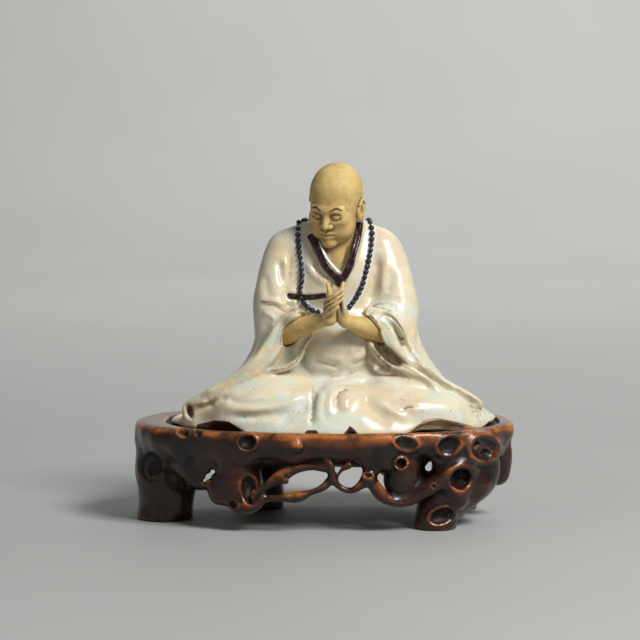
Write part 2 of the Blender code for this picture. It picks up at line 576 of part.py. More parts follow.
def front_folds(relief):
    """The big forms of the cloth in front. A point is across, up and the line's width."""
    for centre, radii in SPARED:
        relief.spare(centre, radii)
    relief.line(wide([(-37.5, 95.4), (-22, 93.8), (-7, 95.0)], 2.2, 2.2), 1.0, taper=0.06)
    # where the arms meet the chest
    relief.line(wide([(-33.5, 130), (-34.8, 113.4), (-37.5, 97.6), (-39, 88)], 3.0, 3.0), -2.2)
    relief.line(wide([(-43.2, 121), (-42.1, 111.3), (-40.0, 102)], 2.4, 2.6), -2.2)
    relief.line(wide([(-38.5, 122), (-38.5, 111), (-38.6, 101)], 2.0, 2.2), 1.2)
    relief.line(wide([(-53.2, 110), (-52.6, 100), (-50, 91)], 3, 3), -1.3)
    relief.line(wide([(29.2, 126), (27.6, 110.2), (26.0, 99), (22, 86)], 3.2, 3.4), -3.4)
    relief.line(wide([(36, 122), (33, 108), (31, 97)], 2.6, 2.8), 1.3)
    relief.line(wide([(41, 112), (38, 103), (37, 95)], 2.6, 2.8), -1.4)
    # left sleeve: a band between two edges
    relief.line(wide(SLEEVE_LEFT_BAND, 3.4, 4.0, 3.2), -2.4, taper=0.12)
    relief.line(wide(SLEEVE_LEFT_OUTER, 1.8, 2.2, 2.4), 2.6, taper=0.08)
    relief.line(wide(SLEEVE_LEFT_INNER, 1.4, 1.8, 2.0), 2.0, taper=0.08)
    relief.line(wide([(-50, 78), (-56, 68), (-60, 57), (-66, 47)], 4.0, 4.0), -1.8)
    relief.line(wide(SLEEVE_LEFT_FAR, 1.2, 1.4), 1.0, taper=0.12)
    relief.line(wide([(-98, 14), (-90, 17), (-82, 20)], 2.4, 2.6), -2.4)
    # right sleeve
    relief.line(wide([(37, 77), (43, 67), (48.5, 57), (55, 48.5), (64, 40.5)], 1.5, 2.2, 2.0), -2.6)
    relief.line(wide(SLEEVE_RIGHT_OUTER, 2.2, 2.4, 2.6), 2.8, taper=0.08)
    relief.line(wide([(63, 37.6), (78, 27.4), (94, 18.5), (106, 11)], 1.6, 2.0), -2.2)
    relief.line(wide(SLEEVE_RIGHT_EDGE, 1.4, 1.6, 1.8), 1.2, taper=0.08)
    relief.line(wide(SLEEVE_RIGHT_INNER, 1.4, 1.6, 1.8), 1.3, taper=0.08)
    relief.line(wide([(54, 40), (66, 34), (76, 26), (88, 18.5)], 1.4, 1.6), -1.8)
    relief.line(wide(SLEEVE_RIGHT_FAR, 1.4, 1.6), 1.2, taper=0.1)
    # belly
    relief.line(wide(BELLY, 3.0, 3.2), -3.6, taper=0.1)
    relief.line(wide([(-16, 50.5), (-5, 47.4), (6, 46)], 2.6, 3.2), 1.1)
    relief.line(wide([(-18.5, 46.8), (-9, 44.2), (1, 40.8)], 1.4, 1.7), -1.6)
    relief.line(wide([(-24.5, 44), (-19, 41), (-9, 39.4), (2, 38.8)], 1.9, 2.1), 1.3)
    relief.line(wide([(6, 58.5), (9, 55), (8, 51)], 2.4, 2.4), 0.9)
    relief.line(wide([(20.5, 55), (17, 50.4), (11, 45.8)], 1.8, 2.0), 1.5)
    relief.line(wide([(25, 50.4), (18, 45.4), (8.8, 41.7)], 1.1, 1.3), -1.6)
    relief.line(wide([(24, 46.5), (17, 42.6), (9, 39.6)], 1.4, 1.6), 1.1)
    # the left thigh as a long cushion, and the folds under it
    relief.line(wide([(-86, 21), (-77, 16.6), (-64, 14.4), (-50, 14.8), (-38, 17.5)], 2.7, 3.2), -2.2)
    relief.line(wide([(-84, 9.5), (-66, 9.4), (-48, 11.2), (-34, 15), (-27, 22)], 2.8, 3.2), 1.8)
    relief.line(wide([(-82, 4.5), (-62, 4.6), (-44, 6.4), (-31, 9.5)], 2.8, 3.2), -1.2)
    relief.line(wide([(-78, 0), (-58, 0), (-40, 1)], 2.8, 3.2), 1.2)
    relief.line(wide([(-8, 34), (-15, 25), (-24, 13), (-38, 4), (-54, -3)], 3.6, 5.0), -1.8)
    # the cloth drawn together in the middle
    relief.line(wide([(-17.9, 27), (-18.7, 12), (-19.7, -4)], 1.5, 1.8), -2.8, taper=0.2)
    relief.line(wide([(-13, 25), (-13.4, 12), (-14, -3)], 3.0, 3.4), 1.3)
    relief.line(wide([(-5, 25), (-6.5, 14), (-6, 2)], 2.2, 2.8), 1.3)
    relief.line(wide([(7.5, 24.8), (2.2, 23), (-1.0, 16.8), (0.6, 7)], 1.2, 1.6), -2.2, taper=0.25)
    relief.line(wide([(9, 19), (5.6, 15), (7, 7)], 3.2, 3.8), 1.6)
    # the right thigh
    relief.line(wide([(-4, 28.8), (14, 30), (40, 29.2)], 1.8, 2.4), -2.0, taper=0.3)
    relief.line(wide([(22, 25), (21.5, 17), (25, 10), (33, 4), (41, 1)], 3.6, 4.8), -2.2, taper=0.25)
    relief.line(wide([(29, 16.5), (35, 11), (44, 6), (52, 2)], 2.2, 2.8), 1.5, taper=0.3)
    relief.line(wide([(33, 23), (47, 22), (62, 21.5)], 2.4, 2.8), 1.3, taper=0.3)
    relief.line(wide([(38, 18.4), (52, 17.6), (66, 17.6)], 1.5, 1.8), -1.3, taper=0.3)
    relief.line(wide([(40, 14), (55, 13.8), (70, 14.6)], 2.0, 2.4), 1.2, taper=0.3)
    relief.line(wide([(50, 8.6), (58, 9.4), (68, 9.2)], 1.6, 1.8), 1.0, taper=0.3)
    relief.line(wide([(-104, 12), (-98, 13), (-91, 14)], 2.2, 2.4), -1.4)
    # cuffs
    relief.line(wide([
        (-58, 88.6), (-49, 90.2), (-40.6, 87.6), (-32.2, 83.9), (-23, 80),
    ], 2.2, 2.0), 1.4, taper=0.25)
    relief.line(wide([(-57, 85.6), (-49, 86.2), (-42, 83.2), (-35, 79.8)], 2.0, 2.0), -1.3, taper=0.25)
    relief.line(wide([
        (18.7, 80.2), (25.0, 85.5), (32.4, 87.8), (39.7, 87.1), (43.5, 84.5),
    ], 2.0, 2.0), 1.8, taper=0.15)
    relief.line(wide([(20.6, 79.2), (26.2, 82.8), (33.5, 83.6), (40, 81.6)], 1.7, 1.7), -1.5, taper=0.15)


def back_folds(relief):
    """Broad, plain folds down the back. Across runs as in front, so left stays left."""
    for lean in (-1, 1):
        relief.line([(lean * 30, 128, 4.0), (lean * 20, 98, 5.0), (lean * 7, 70, 5.0)], -2.0)
        relief.line([(lean * 36, 118, 4.0), (lean * 29, 88, 5.0), (lean * 18, 56, 5.0)], 1.6)
        relief.line([(lean * 6, 76, 4.5), (lean * 18, 40, 6.0), (lean * 40, 4, 6.0)], -2.2)
        relief.line([(lean * 20, 66, 4.5), (lean * 40, 36, 6.0), (lean * 72, 6, 6.0)], 2.0)
        relief.line([(lean * 44, 80, 4.0), (lean * 52, 48, 5.0), (lean * 80, 14, 5.0)], -2.0)
    relief.line([(0, 70, 5.0), (2, 38, 6.0), (4, 2, 6.0)], 2.0)


BEAD_RADIUS = 1.85
BEAD_PITCH = 4.05
BEAD_LIFT = 0.8

# The string in front, across and up as seen, and its way round the neck, in space
BEADS_LEFT = [
    (-27.5, 151), (-29.5, 139.6), (-28.5, 126.0), (-26.9, 115.5), (-26.6, 104.9), (-28.0, 95.5),
    (-25.4, 89.2), (-19.6, 83.6), (-14.5, 81.5),
]
BEADS_RIGHT = [
    (21.5, 151), (24.4, 141.7), (24.2, 130.2), (21.8, 118.6), (19.7, 109.2), (17.1, 100.7), (12.9, 92.3),
    (8.5, 85.8),
]
BEADS_BEHIND = [
    (-25, 3, 148), (-21, 14, 144), (-11, 25, 139), (0, 29, 137), (11, 25, 139), (19, 14, 144), (22, 3, 147),
]


def along_at_pitch(points, pitch):
    """Evenly spaced points along a smooth route."""
    path = route(points, steps=12)
    along = np.concatenate([[0], np.cumsum(np.linalg.norm(np.diff(path, axis=0), axis=1))])
    at = np.linspace(0, along[-1], int(along[-1] / pitch) + 1)
    return np.stack([np.interp(at, along, path[:, i]) for i in range(path.shape[1])], axis=1)


def bead_places(mesh):
    """Where each bead lies: on the cloth that the eye meets behind it, or round the neck on the nearest."""
    tree = BVHTree.FromPolygons([v.co for v in mesh.vertices], [p.vertices for p in mesh.polygons])
    eye = np.array(FIGURE_FRONT_EYE)
    found = []
    for across, up in [*along_at_pitch(BEADS_LEFT, BEAD_PITCH), *along_at_pitch(BEADS_RIGHT, BEAD_PITCH)]:
        found.append(tree.ray_cast(eye, np.array((across, 0.0, up)) - eye))
    for place in along_at_pitch(BEADS_BEHIND, BEAD_PITCH):
        found.append(tree.find_nearest(place))
    return [np.array(hit[0]) + np.array(hit[1]) * BEAD_LIFT for hit in found if hit[0] is not None]


def string_of_beads(places):
    """All the beads as one mesh of small balls, kept apart from each other."""
    beads = bmesh.new()
    kept = []
    for place in places:
        if all(np.linalg.norm(place - other) > 2.05 * BEAD_RADIUS for other in kept):
            kept.append(place)
            made = bmesh.ops.create_icosphere(beads, subdivisions=1, radius=BEAD_RADIUS)
            bmesh.ops.translate(beads, verts=made["verts"], vec=place)
    mesh = bpy.data.meshes.new("beads")
    beads.to_mesh(mesh)
    beads.free()
    return mesh


def figure_mesh(voxel):
    mesh = figure_clay(voxel).mesh("monk_figure")
    for eye, folds in ((FIGURE_FRONT_EYE, front_folds), (FIGURE_BACK_EYE, back_folds)):
        relief = Relief(mesh, eye)
        folds(relief)
        relief.press()
    return mesh


# The stand

STAND_FRONT_EYE = (-3.3, -1992.0, 320.0)
STAND_BACK_EYE = (0.0, 1300.0, 200.0)


def top_slab(clay):
    clay.add(
        shell_of_outlines(
            [
                (45, 108, 108, 58, 58),
                (49, 122, 121, 70, 70),
                (54, 131, 131, 78, 78),
                (60, 136, 136, 82, 82),
                (66, 137.6, 137.6, 83.0, 83.0),
                (71, 137.6, 137.6, 83.0, 83.0),
                (75, 136.0, 136.0, 82, 82),
                (82, 132, 132, 79, 79),
            ],
            OUTLINE_POWER,
        )
    )


def knuckles(clay):
    """Short root ends that swell out of the rim all round and make its lower edge wavy."""
    count = 26
    for k in range(count):
        angle = math.tau * (k + 0.35 * math.sin(2.3 * k)) / count
        c, s = math.cos(angle), math.sin(angle)
        x = 0.93 * STAND_UNITS[0] * math.copysign(abs(c) ** (2 / OUTLINE_POWER), c)
        y = 0.90 * STAND_UNITS[1] * math.copysign(abs(s) ** (2 / OUTLINE_POWER), s)
        drop = 46 + 3.5 * math.sin(1.7 * k + 0.6)
        thick = 8.0 + 1.5 * math.sin(3.1 * k)
        clay.add(limb([(x, y, 64, thick), (x * 0.985, y * 0.985, drop + thick, thick * 0.8)]), 9)


def legs(clay):
    clay.add(limb([(-112, -3, 54, 26), (-116, -4, 28, 22), (-117, -5, 12, 20.5), (-118, -5, -6, 21)]), 10)
    clay.add(bulb((-122, -12, 38), (14, 13, 18)), 8)
    clay.add(bulb((-103, -24, 31), (7, 6, 7)), 5)
    clay.add(limb([(90, -42, 54, 25), (88, -48, 28, 19), (80, -50, 10, 15), (80, -50, -6, 16)]), 10)
    clay.add(limb([(112, -32, 50, 16), (112, -36, 33, 12), (106, -41, 23.5, 9), (92, -47, 14, 8)]), 8)
    clay.add(bulb((109, -46, 30), (9, 8, 9)), 5)
    clay.add(limb([(-50, 42, 54, 20), (-47, 45, 26, 16), (-46, 46, -6, 15.5)]), 8)
    clay.add(limb([(94, 42, 54, 22), (99, 44, 26, 16), (100, 45, -6, 16)]), 8)


def front_roots(clay):
    """The lobe, the twigs and the root ends that hang below the front rim."""
    # lobe left of the middle, with its big hollow and its tie to the left leg
    clay.add(bulb((-63, -58, 34), (18, 15, 19), turned(y=-14)), 7)
    clay.add(bulb((-80, -50, 52), (16, 14, 12)), 6)
    clay.add(limb([(-60, -66, 20, 7), (-50, -70, 20, 5.5), (-46, -72, 25, 4)]), 4)
    clay.add(limb([(-104, -30, 48, 14), (-92, -42, 42, 12)]), 8)
    clay.add(limb([(-104, -26, 37, 9), (-92, -40, 34, 6.5), (-80, -54, 35, 6.5)]), 5)
    clay.add(bulb((-76, -56, 27), (7, 9, 9)), 5)
    clay.cut(bulb((-52.6, -75, 31.5), (7, 10, 10.6), turned(y=-6)), 1.5)
    clay.cut(bulb((-66, -73, 19.5), (3.2, 7, 3.2)), 0.8)
    # twigs
    clay.add(limb([
        (-48, -70, 27, 5), (-45.8, -72, 30, 3.4), (-39.2, -74, 35.6, 3.0), (-30.8, -75, 41.3, 3.6),
        (-22.4, -75, 45.5, 2.6), (-9.3, -75, 47.9, 2.6), (0, -75, 47.6, 4),
    ]), 2)
    clay.add(limb([
        (-48, -70, 24, 5), (-41, -72, 25, 3.2), (-33.6, -74, 25.3, 2.6), (-19.5, -75, 26, 4.2),
        (-12, -75, 29, 2.8), (0, -75, 34.2, 3.4), (4.5, -75, 39, 3.6),
    ]), 2)
    clay.add(limb([
        (0.5, -78, 54.5, 1.4), (4, -77.5, 49, 2.8), (5.7, -76.5, 41, 3.4), (10.5, -76, 34, 3.0),
        (18.8, -75.5, 31.2, 3.0), (26, -75.5, 35.4, 3.4), (31, -75.5, 40.3, 4.4),
    ]), 2)
    clay.add(limb([
        (31, -75.5, 40.3, 4.4), (35.6, -75, 33.8, 3.4), (41.5, -74, 26.6, 3.6), (50.6, -72, 22.5, 4.2),
        (60, -70, 24.4, 4.8), (70, -68, 31, 5.4), (79, -68, 36, 5.2),
    ]), 2)
    clay.add(limb([(8.5, -75, 40, 1.8), (12, -75, 45.5, 1.7), (17, -75, 49, 2.6)]), 1.2)
    clay.add(limb([(-30.8, -76, 41.3, 3.0), (-28, -77.5, 38.5, 1.8)]), 1)
    clay.add(limb([(31, -68, 58, 9), (33, -72, 46, 6)]), 3)
    clay.add(limb([(-3, -68, 58, 9), (1, -72, 50, 5)]), 3)
    # root ends over the right leg
    clay.add(bulb((56, -64, 43), (13, 13, 20), turned(y=10)), 5)
    clay.add(limb([(66, -68, 27.5, 5), (80, -68, 36, 6), (90, -66, 43, 6.5), (100, -58, 50, 8)]), 3)
    clay.add(limb([(84, -66, 37, 5), (92, -66, 31, 5), (96, -60, 22, 7)]), 4)
    clay.cut(bulb((82, -82, 53), (9, 13, 5), turned(y=-14)), 2)
    clay.cut(bulb((99, -70, 38), (9, 15, 8), turned(y=20)), 3)
    # small holes right through, left and right, along the line of sight
    for u, w, radius in (
        (76.5, 36.8, 3.0), (77.8, 40.0, 2.0), (-88.8, 27.0, 2.2), (-85.8, 30.2, 2.8), (-82.6, 33.6, 2.2),
    ):
        clay.cut(limb(seen((u, w, -95, radius), (u, w, 90, radius), eye=STAND_FRONT_EYE)), 1)
    # lobe at the right end
    clay.add(limb([(121, 0, 60, 14), (127.5, 0, 46, 11.2), (127.5, 1, 33, 9.0)]), 3)


def back_roots(clay):
    """The hidden side, in keeping and plainer: one lobe, one long twig and a root end."""
    clay.add(bulb((54, 56, 38), (18, 14, 18), turned(y=14)), 7)
    clay.add(limb([(66, 56, 45, 8), (92, 48, 45, 8)]), 5)
    clay.add(bulb((-96, 48, 46), (18, 14, 14)), 7)
    clay.add(limb([(-92, 52, 38, 6), (-78, 58, 33, 4), (-60, 56, 34, 5)]), 4)
    twig = [
        (50, 66, 30, 5), (30, 72, 32, 3.8), (8, 74, 42, 4), (-12, 74, 36, 3.8), (-36, 70, 38, 4.4),
        (-48, 60, 44, 6),
    ]
    clay.add(limb(twig), 3)
    clay.add(limb([(8, 74, 42, 4), (5, 73, 58, 5)]), 3)
    clay.cut(bulb((58, 70, 38), (7, 9, 9)), 2)


FRONT_KNOTS = (
    # across and up as seen, radii, depth, rim, lean
    ((-104.6, 62.7), (4.6, 3.2), 3.0, 1.0, -20),
    ((-93.5, 62.5), (2.6, 3.6), 2.0, 0.6, 20),
    ((-57.0, 55.6), (6.5, 5.6), 4.5, 1.4, 0),
    ((-20.3, 52.5), (4.6, 5.0), -2.2, 0.0, 0),
    ((60.3, 54.5), (8.4, 4.8), 1.4, 1.0, -12),
    ((56.5, 40.0), (4.0, 4.0), 4.0, 2.4, 0),
    ((92.0, 53.0), (8.8, 6.4), 3.6, 0.7, 24),
    ((117.5, 51.0), (9.6, 9.0), 2.6, 1.6, 10),
    ((86.5, 0.5), (9.0, 5.6), 3.6, 1.3, 22),
    ((-127.5, 37.0), (8.5, 11.0), 3.0, 0.8, 12),
    ((-103.5, 22.0), (4.6, 4.2), -1.8, 0.0, 0),
    ((80.5, 22.6), (1.8, 1.8), 2.0, 0.8, 0),
    ((32.2, 31.0), (3.4, 1.8), 1.8, 0.8, 0),
)


def knots(relief):
    for centre, radii, depth, rim, lean in FRONT_KNOTS:
        relief.pit(centre, radii, depth, rim, lean)
    relief.pit((113.6, 53.8), (3.2, 2.8), 1.8, 0.6)
    relief.pit((120.2, 47.2), (3.8, 2.8), 2.0, 0.6, 20)
    # the eddy on the left leg, wound once and a half round
    relief.line([
        (-125, 41, 1.4), (-130, 42, 1.6), (-132.5, 36, 1.6), (-129, 29.5, 1.6), (-122, 31, 1.8),
        (-118, 39, 2.2), (-120.5, 48, 2.2), (-128, 51, 1.8),
    ], 1.6)


def back_knots(relief):
    for k in range(7):
        across = -96 + 32 * k + 5 * math.sin(1.9 * k)
        relief.pit((across, 62 + 3 * math.sin(2.7 * k)), (5.5, 4.5), 3.0, 1.0)


def gnarl(mesh):
    """The slow wobble of root wood, all over."""
    relief = Relief(mesh, STAND_FRONT_EYE)
    x, y, z = relief.place.T
    slow = np.sin(x / 11 + 1.3 * np.sin(y / 14)) * np.sin(z / 10 + 0.7 * np.sin(x / 17) + 1.0)
    quick = np.sin(x / 5.2 + z / 9) * np.sin(y / 6.1 + 0.8) * np.sin(z / 7.3)
    under_rim = np.clip((70 - z) / 12, 0, 1)
    relief.rise += under_rim * (1.1 * slow + 0.6 * quick)
    relief.facing[:] = 1
    relief.press()


def stand_mesh(voxel):
    clay = Clay((-144, -90, -8), (144, 90, 80), voxel)
    top_slab(clay)
    knuckles(clay)
    legs(clay)
    front_roots(clay)
    back_roots(clay)
    mesh = clay.mesh("carved_stand")
    gnarl(mesh)
    for eye, marks in ((STAND_FRONT_EYE, knots), (STAND_BACK_EYE, back_knots)):
        relief = Relief(mesh, eye)
        marks(relief)
        relief.press()
    return mesh


# Putting the pieces together


def material(name, colour, roughness):
    made = bpy.data.materials.new(name)
    made.use_nodes = True
    shader = made.node_tree.nodes["Principled BSDF"]
    shader.inputs["Base Color"].default_value = (*colour, 1.0)
    shader.inputs["Roughness"].default_value = roughness
    shader.inputs["Metallic"].default_value = 0.0
    return made


def outline_block(name, half, low, high, cutters):
    """An upright block with the stand's kind of outline, to cut with."""
    block = bmesh.new()
    bmesh.ops.create_cone(block, cap_ends=True, segments=64, radius1=1.0, radius2=1.0, depth=1.0)
    for vertex in block.verts:
        x, y, z = vertex.co
        vertex.co.x = half[0] * math.copysign(abs(x) ** (2 / OUTLINE_POWER), x)
        vertex.co.y = half[1] * math.copysign(abs(y) ** (2 / OUTLINE_POWER), y)
        vertex.co.z = low if z < 0 else high
    mesh = bpy.data.meshes.new(name)
    block.to_mesh(mesh)
    block.free()
    cutter = bpy.data.objects.new(name, mesh)
    cutter.hide_render = True
    cutter.display_type = "WIRE"
    cutters.objects.link(cutter)
    return cutter


def lighten(piece, triangles):
    """Brings a mesh of quads down to about this many triangles."""
    modifier = piece.modifiers.new("Lighten", "DECIMATE")
    modifier.ratio = triangles / (2 * len(piece.data.polygons))
    modifier.use_collapse_triangulate = True


def combine(piece, other, operation):
    """Joins or cuts. The exact solver leaves gaps on these fine free forms, and the manifold one doesn't."""
    modifier = piece.modifiers.new(operation.title(), "BOOLEAN")
    modifier.operation = operation
    modifier.object = other
    modifier.solver = "MANIFOLD"


def scaled(mesh, factors):
    mesh.transform(Matrix.Diagonal((*factors, 1.0)))
    return mesh


def main():
    for old in list(bpy.data.objects):
        bpy.data.objects.remove(old)
    work = bpy.data.collections.new("ceramic_monk_figure")
    cutters = bpy.data.collections.new("cutters")
    bpy.context.scene.collection.children.link(work)
    bpy.context.scene.collection.children.link(cutters)

    unit = FIGURE_HEIGHT / FIGURE_UNITS
    base = [half * unit for half in BASE_HALF]
    recess = [half + RECESS_CLEARANCE for half in base]
    rim = [(RIM_LEFT + RIM_RIGHT) / 2, (RIM_FRONT + RIM_BACK) / 2]
    stand = [half + side for half, side in zip(recess, rim)]
    recess_centre = ((RIM_LEFT - RIM_RIGHT) / 2, (RIM_FRONT - RIM_BACK) / 2, 0.0)
    recess_floor = STAND_HEIGHT - RECESS_DEPTH
    seat = recess_floor + SEAT_GAP

    wood = scaled(
        stand_mesh(STAND_VOXEL),
        (stand[0] / STAND_UNITS[0], stand[1] / STAND_UNITS[1], STAND_HEIGHT / STAND_UNITS[2]),
    )
    wood.materials.append(material("root_wood", (0.13, 0.045, 0.02), 0.32))
    carved = bpy.data.objects.new("carved_stand", wood)
    work.objects.link(carved)
    lighten(carved, STAND_TRIANGLES)
    combine(carved, outline_block("stand_block", stand, 0.0, STAND_HEIGHT, cutters), "INTERSECT")
    hollow = outline_block("recess_block", recess, recess_floor, STAND_HEIGHT + RECESS_DEPTH, cutters)
    hollow.location = recess_centre
    combine(carved, hollow, "DIFFERENCE")

    glaze = figure_mesh(FIGURE_VOXEL)
    beads = scaled(string_of_beads(bead_places(glaze)), (unit,) * 3)
    scaled(glaze, (unit,) * 3)
    glaze.materials.append(material("glaze", (0.72, 0.66, 0.52), 0.22))
    monk = bpy.data.objects.new("monk_figure", glaze)
    work.objects.link(monk)
    centre = [c * unit for c in BASE_CENTRE]
    monk.location = (recess_centre[0] - centre[0], recess_centre[1] - centre[1], seat)
    lighten(monk, FIGURE_TRIANGLES)
    string = bpy.data.objects.new("bead_string", beads)
    string.location = monk.location
    string.hide_render = True
    string.display_type = "WIRE"
    cutters.objects.link(string)
    combine(monk, string, "UNION")
    block = outline_block("figure_block", base, 0.0, FIGURE_HEIGHT * 1.1, cutters)
    block.location = (recess_centre[0], recess_centre[1], seat)
    combine(monk, block, "INTERSECT")


main()
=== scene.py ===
import math

import bmesh
import bpy
import numpy as np
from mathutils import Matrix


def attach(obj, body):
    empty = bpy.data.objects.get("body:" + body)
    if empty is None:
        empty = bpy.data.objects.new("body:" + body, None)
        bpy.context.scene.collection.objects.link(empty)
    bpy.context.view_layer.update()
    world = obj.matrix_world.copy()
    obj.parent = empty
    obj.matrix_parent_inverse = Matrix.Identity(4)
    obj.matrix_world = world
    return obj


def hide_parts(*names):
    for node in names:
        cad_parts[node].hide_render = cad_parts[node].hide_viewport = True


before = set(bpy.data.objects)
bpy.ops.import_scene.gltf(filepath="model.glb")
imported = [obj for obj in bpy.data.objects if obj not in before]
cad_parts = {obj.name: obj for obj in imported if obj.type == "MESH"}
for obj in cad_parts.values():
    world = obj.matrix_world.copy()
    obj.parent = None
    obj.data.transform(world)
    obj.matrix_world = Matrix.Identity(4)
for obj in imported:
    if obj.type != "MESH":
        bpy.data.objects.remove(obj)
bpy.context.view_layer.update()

import openvdb
from mathutils import Matrix, Vector
from mathutils.bvhtree import BVHTree

# A glazed stoneware monk, seated with pressed hands, on a stand carved from root wood. The forms are
# those of the solids, worked out again in finer clay: distance fields in blocks of voxels, turned into
# meshes, and then folds, knots and wear pressed in as they are seen from one eye.

# Lengths are thousandths of a metre. The figure is drawn from the middle of its underside.
UNIT = 0.001
FIGURE_PLACE = (0.010, 0.0, 0.0703)
STAND_PLACE = (0.0, 0.0, 0.0)

FIGURE_FRONT_EYE = (-13.3, -1992.0, 250.0)
FIGURE_BACK_EYE = (0.0, 1300.0, 200.0)
STAND_FRONT_EYE = (-3.3, -1992.0, 320.0)
STAND_BACK_EYE = (0.0, 1300.0, 200.0)
OUTLINE_POWER = 2.3

# What a voxel far from any form holds, and how far past its surface a form still acts
AIR = 30.0
SLACK = 6.0
UPRIGHT = np.eye(3)

# What the robe and the stand are brought down to
MOST_TRIANGLES = 190000

# How many of its widths out a pressed line acts, within what length an edge of cloth turns over, and how
# steep the wall of a pit is
LINE_REACH = 3.2
EDGE_TURN = 0.6
PIT_STEEPNESS = 3.0


# The clay

def smooth_min(a, b, blend):
    """The nearer of two distances, with a fillet of about this size where they meet."""
    if blend <= 0:
        return np.minimum(a, b)
    near = np.maximum(blend - np.abs(a - b), 0) / blend
    return np.minimum(a, b) - near * near * blend * 0.25


def turned(x=0.0, y=0.0, z=0.0):
    """The matrix of turns about X, then Y, then Z, in degrees."""
    x, y, z = (math.radians(a) for a in (x, y, z))
    about_x = np.array([[1, 0, 0], [0, math.cos(x), -math.sin(x)], [0, math.sin(x), math.cos(x)]])
    about_y = np.array([[math.cos(y), 0, math.sin(y)], [0, 1, 0], [-math.sin(y), 0, math.cos(y)]])
    about_z = np.array([[math.cos(z), -math.sin(z), 0], [math.sin(z), math.cos(z), 0], [0, 0, 1]])
    return about_z @ about_y @ about_x


def eased(places, values, at):
    """A smooth curve through the values at the places, read anywhere along it."""
    places = np.asarray(places, np.float64)
    values = np.asarray(values, np.float64)
    slopes = np.gradient(values, places)
    i = np.clip(np.searchsorted(places, at) - 1, 0, len(places) - 2)
    span = places[i + 1] - places[i]
    t = np.clip((at - places[i]) / span, 0, 1)
    t2, t3 = t * t, t * t * t
    return (
        (2 * t3 - 3 * t2 + 1) * values[i]
        + (t3 - 2 * t2 + t) * span * slopes[i]
        + (3 * t2 - 2 * t3) * values[i + 1]
        + (t3 - t2) * span * slopes[i + 1]
    )


def route(points, steps=6):
    """A smooth route through a few points. Numbers after the coordinates are eased too."""
    points = np.array(points, np.float64)
    if len(points) == 2:
        return points
    across = min(points.shape[1], 3)
    along = np.concatenate([[0], np.cumsum(np.linalg.norm(np.diff(points[:, :across], axis=0), axis=1))])
    at = np.concatenate(
        [np.linspace(a, b, steps, endpoint=False) for a, b in zip(along, along[1:])] + [along[-1:]]
    )
    return np.stack([eased(along, points[:, i], at) for i in range(points.shape[1])], axis=1)


class Form:
    """A shape to blend into clay: its distance, and the box outside which it adds nothing."""

    def __init__(self, distance, low, high):
        self.distance = distance
        self.low = np.array(low, np.float64)
        self.high = np.array(high, np.float64)


def bulb(centre, radii, axes=UPRIGHT):
    """An ellipsoid whose own axes are the columns of a matrix."""
    centre = np.array(centre, np.float64)
    radii = np.array(radii, np.float64)

    def distance(x, y, z):
        p = [a[0] * (x - centre[0]) + a[1] * (y - centre[1]) + a[2] * (z - centre[2]) for a in axes.T]
        near = np.sqrt(sum((q / r) ** 2 for q, r in zip(p, radii)))
        slope = np.sqrt(sum((q / (r * r)) ** 2 for q, r in zip(p, radii)))
        return near * (near - 1) / np.maximum(slope, 1e-6)

    reach = np.sqrt(((axes.T * radii[:, None]) ** 2).sum(axis=0)) + SLACK
    return Form(distance, centre - reach, centre + reach)


def limb(points):
    """A round bar along a smooth route, with its radius as each point's fourth number."""
    path = route(points)
    centre, radius = path[:, :3], path[:, 3]

    def distance(x, y, z):
        found = np.full(np.broadcast_shapes(x.shape, y.shape, z.shape), AIR, np.float32)
        for a, b, ra, rb in zip(centre, centre[1:], radius, radius[1:]):
            d = b - a
            t = sum((q - o) * e for q, o, e in zip((x, y, z), a, d)) / max((d * d).sum(), 1e-9)
            t = np.clip(t, 0, 1)
            off = sum((q - o - t * e) ** 2 for q, o, e in zip((x, y, z), a, d))
            np.minimum(found, np.sqrt(off) - (ra + t * (rb - ra)), out=found)
        return found

    reach = path[:, 3:4] + SLACK
    return Form(distance, (centre - reach).min(axis=0), (centre + reach).max(axis=0))


def shell_of_outlines(sections, power, centre=(0.0, 0.0)):
    """A solid through level outlines: each section is its height and reach left, right, front, back."""
    sections = np.array(sections, np.float64)
    heights = sections[:, 0]

    def distance(x, y, z):
        level = np.clip(z, heights[0], heights[-1])
        left, right, front, back = (eased(heights, sections[:, i], level) for i in range(1, 5))
        x, y = x - centre[0], y - centre[1]
        a = np.where(x < 0, left, right)
        b = np.where(y < 0, front, back)
        near = ((np.abs(x) / a) ** power + (np.abs(y) / b) ** power) ** (1 / power)
        side = (near - 1) * np.minimum(a, b)
        return np.maximum(side, np.maximum(z - heights[-1], heights[0] - z))

    reach = sections[:, 1:].max(axis=0) + SLACK
    low = (centre[0] - reach[0], centre[1] - reach[2], heights[0] - SLACK)
    high = (centre[0] + reach[1], centre[1] + reach[3], heights[-1] + SLACK)
    return Form(distance, low, high)


class Pose:
    """A place and a turn in which forms are drawn upright, as for a bowed head."""

    def __init__(self, centre, axes):
        self.centre = np.array(centre, np.float64)
        self.axes = axes

    def at(self, point):
        return self.centre + self.axes @ np.array(point)

    def bulb(self, centre, radii, axes=UPRIGHT):
        return bulb(self.at(centre), radii, self.axes @ axes)

    def limb(self, points):
        return limb([(*self.at(p[:3]), p[3]) for p in points])


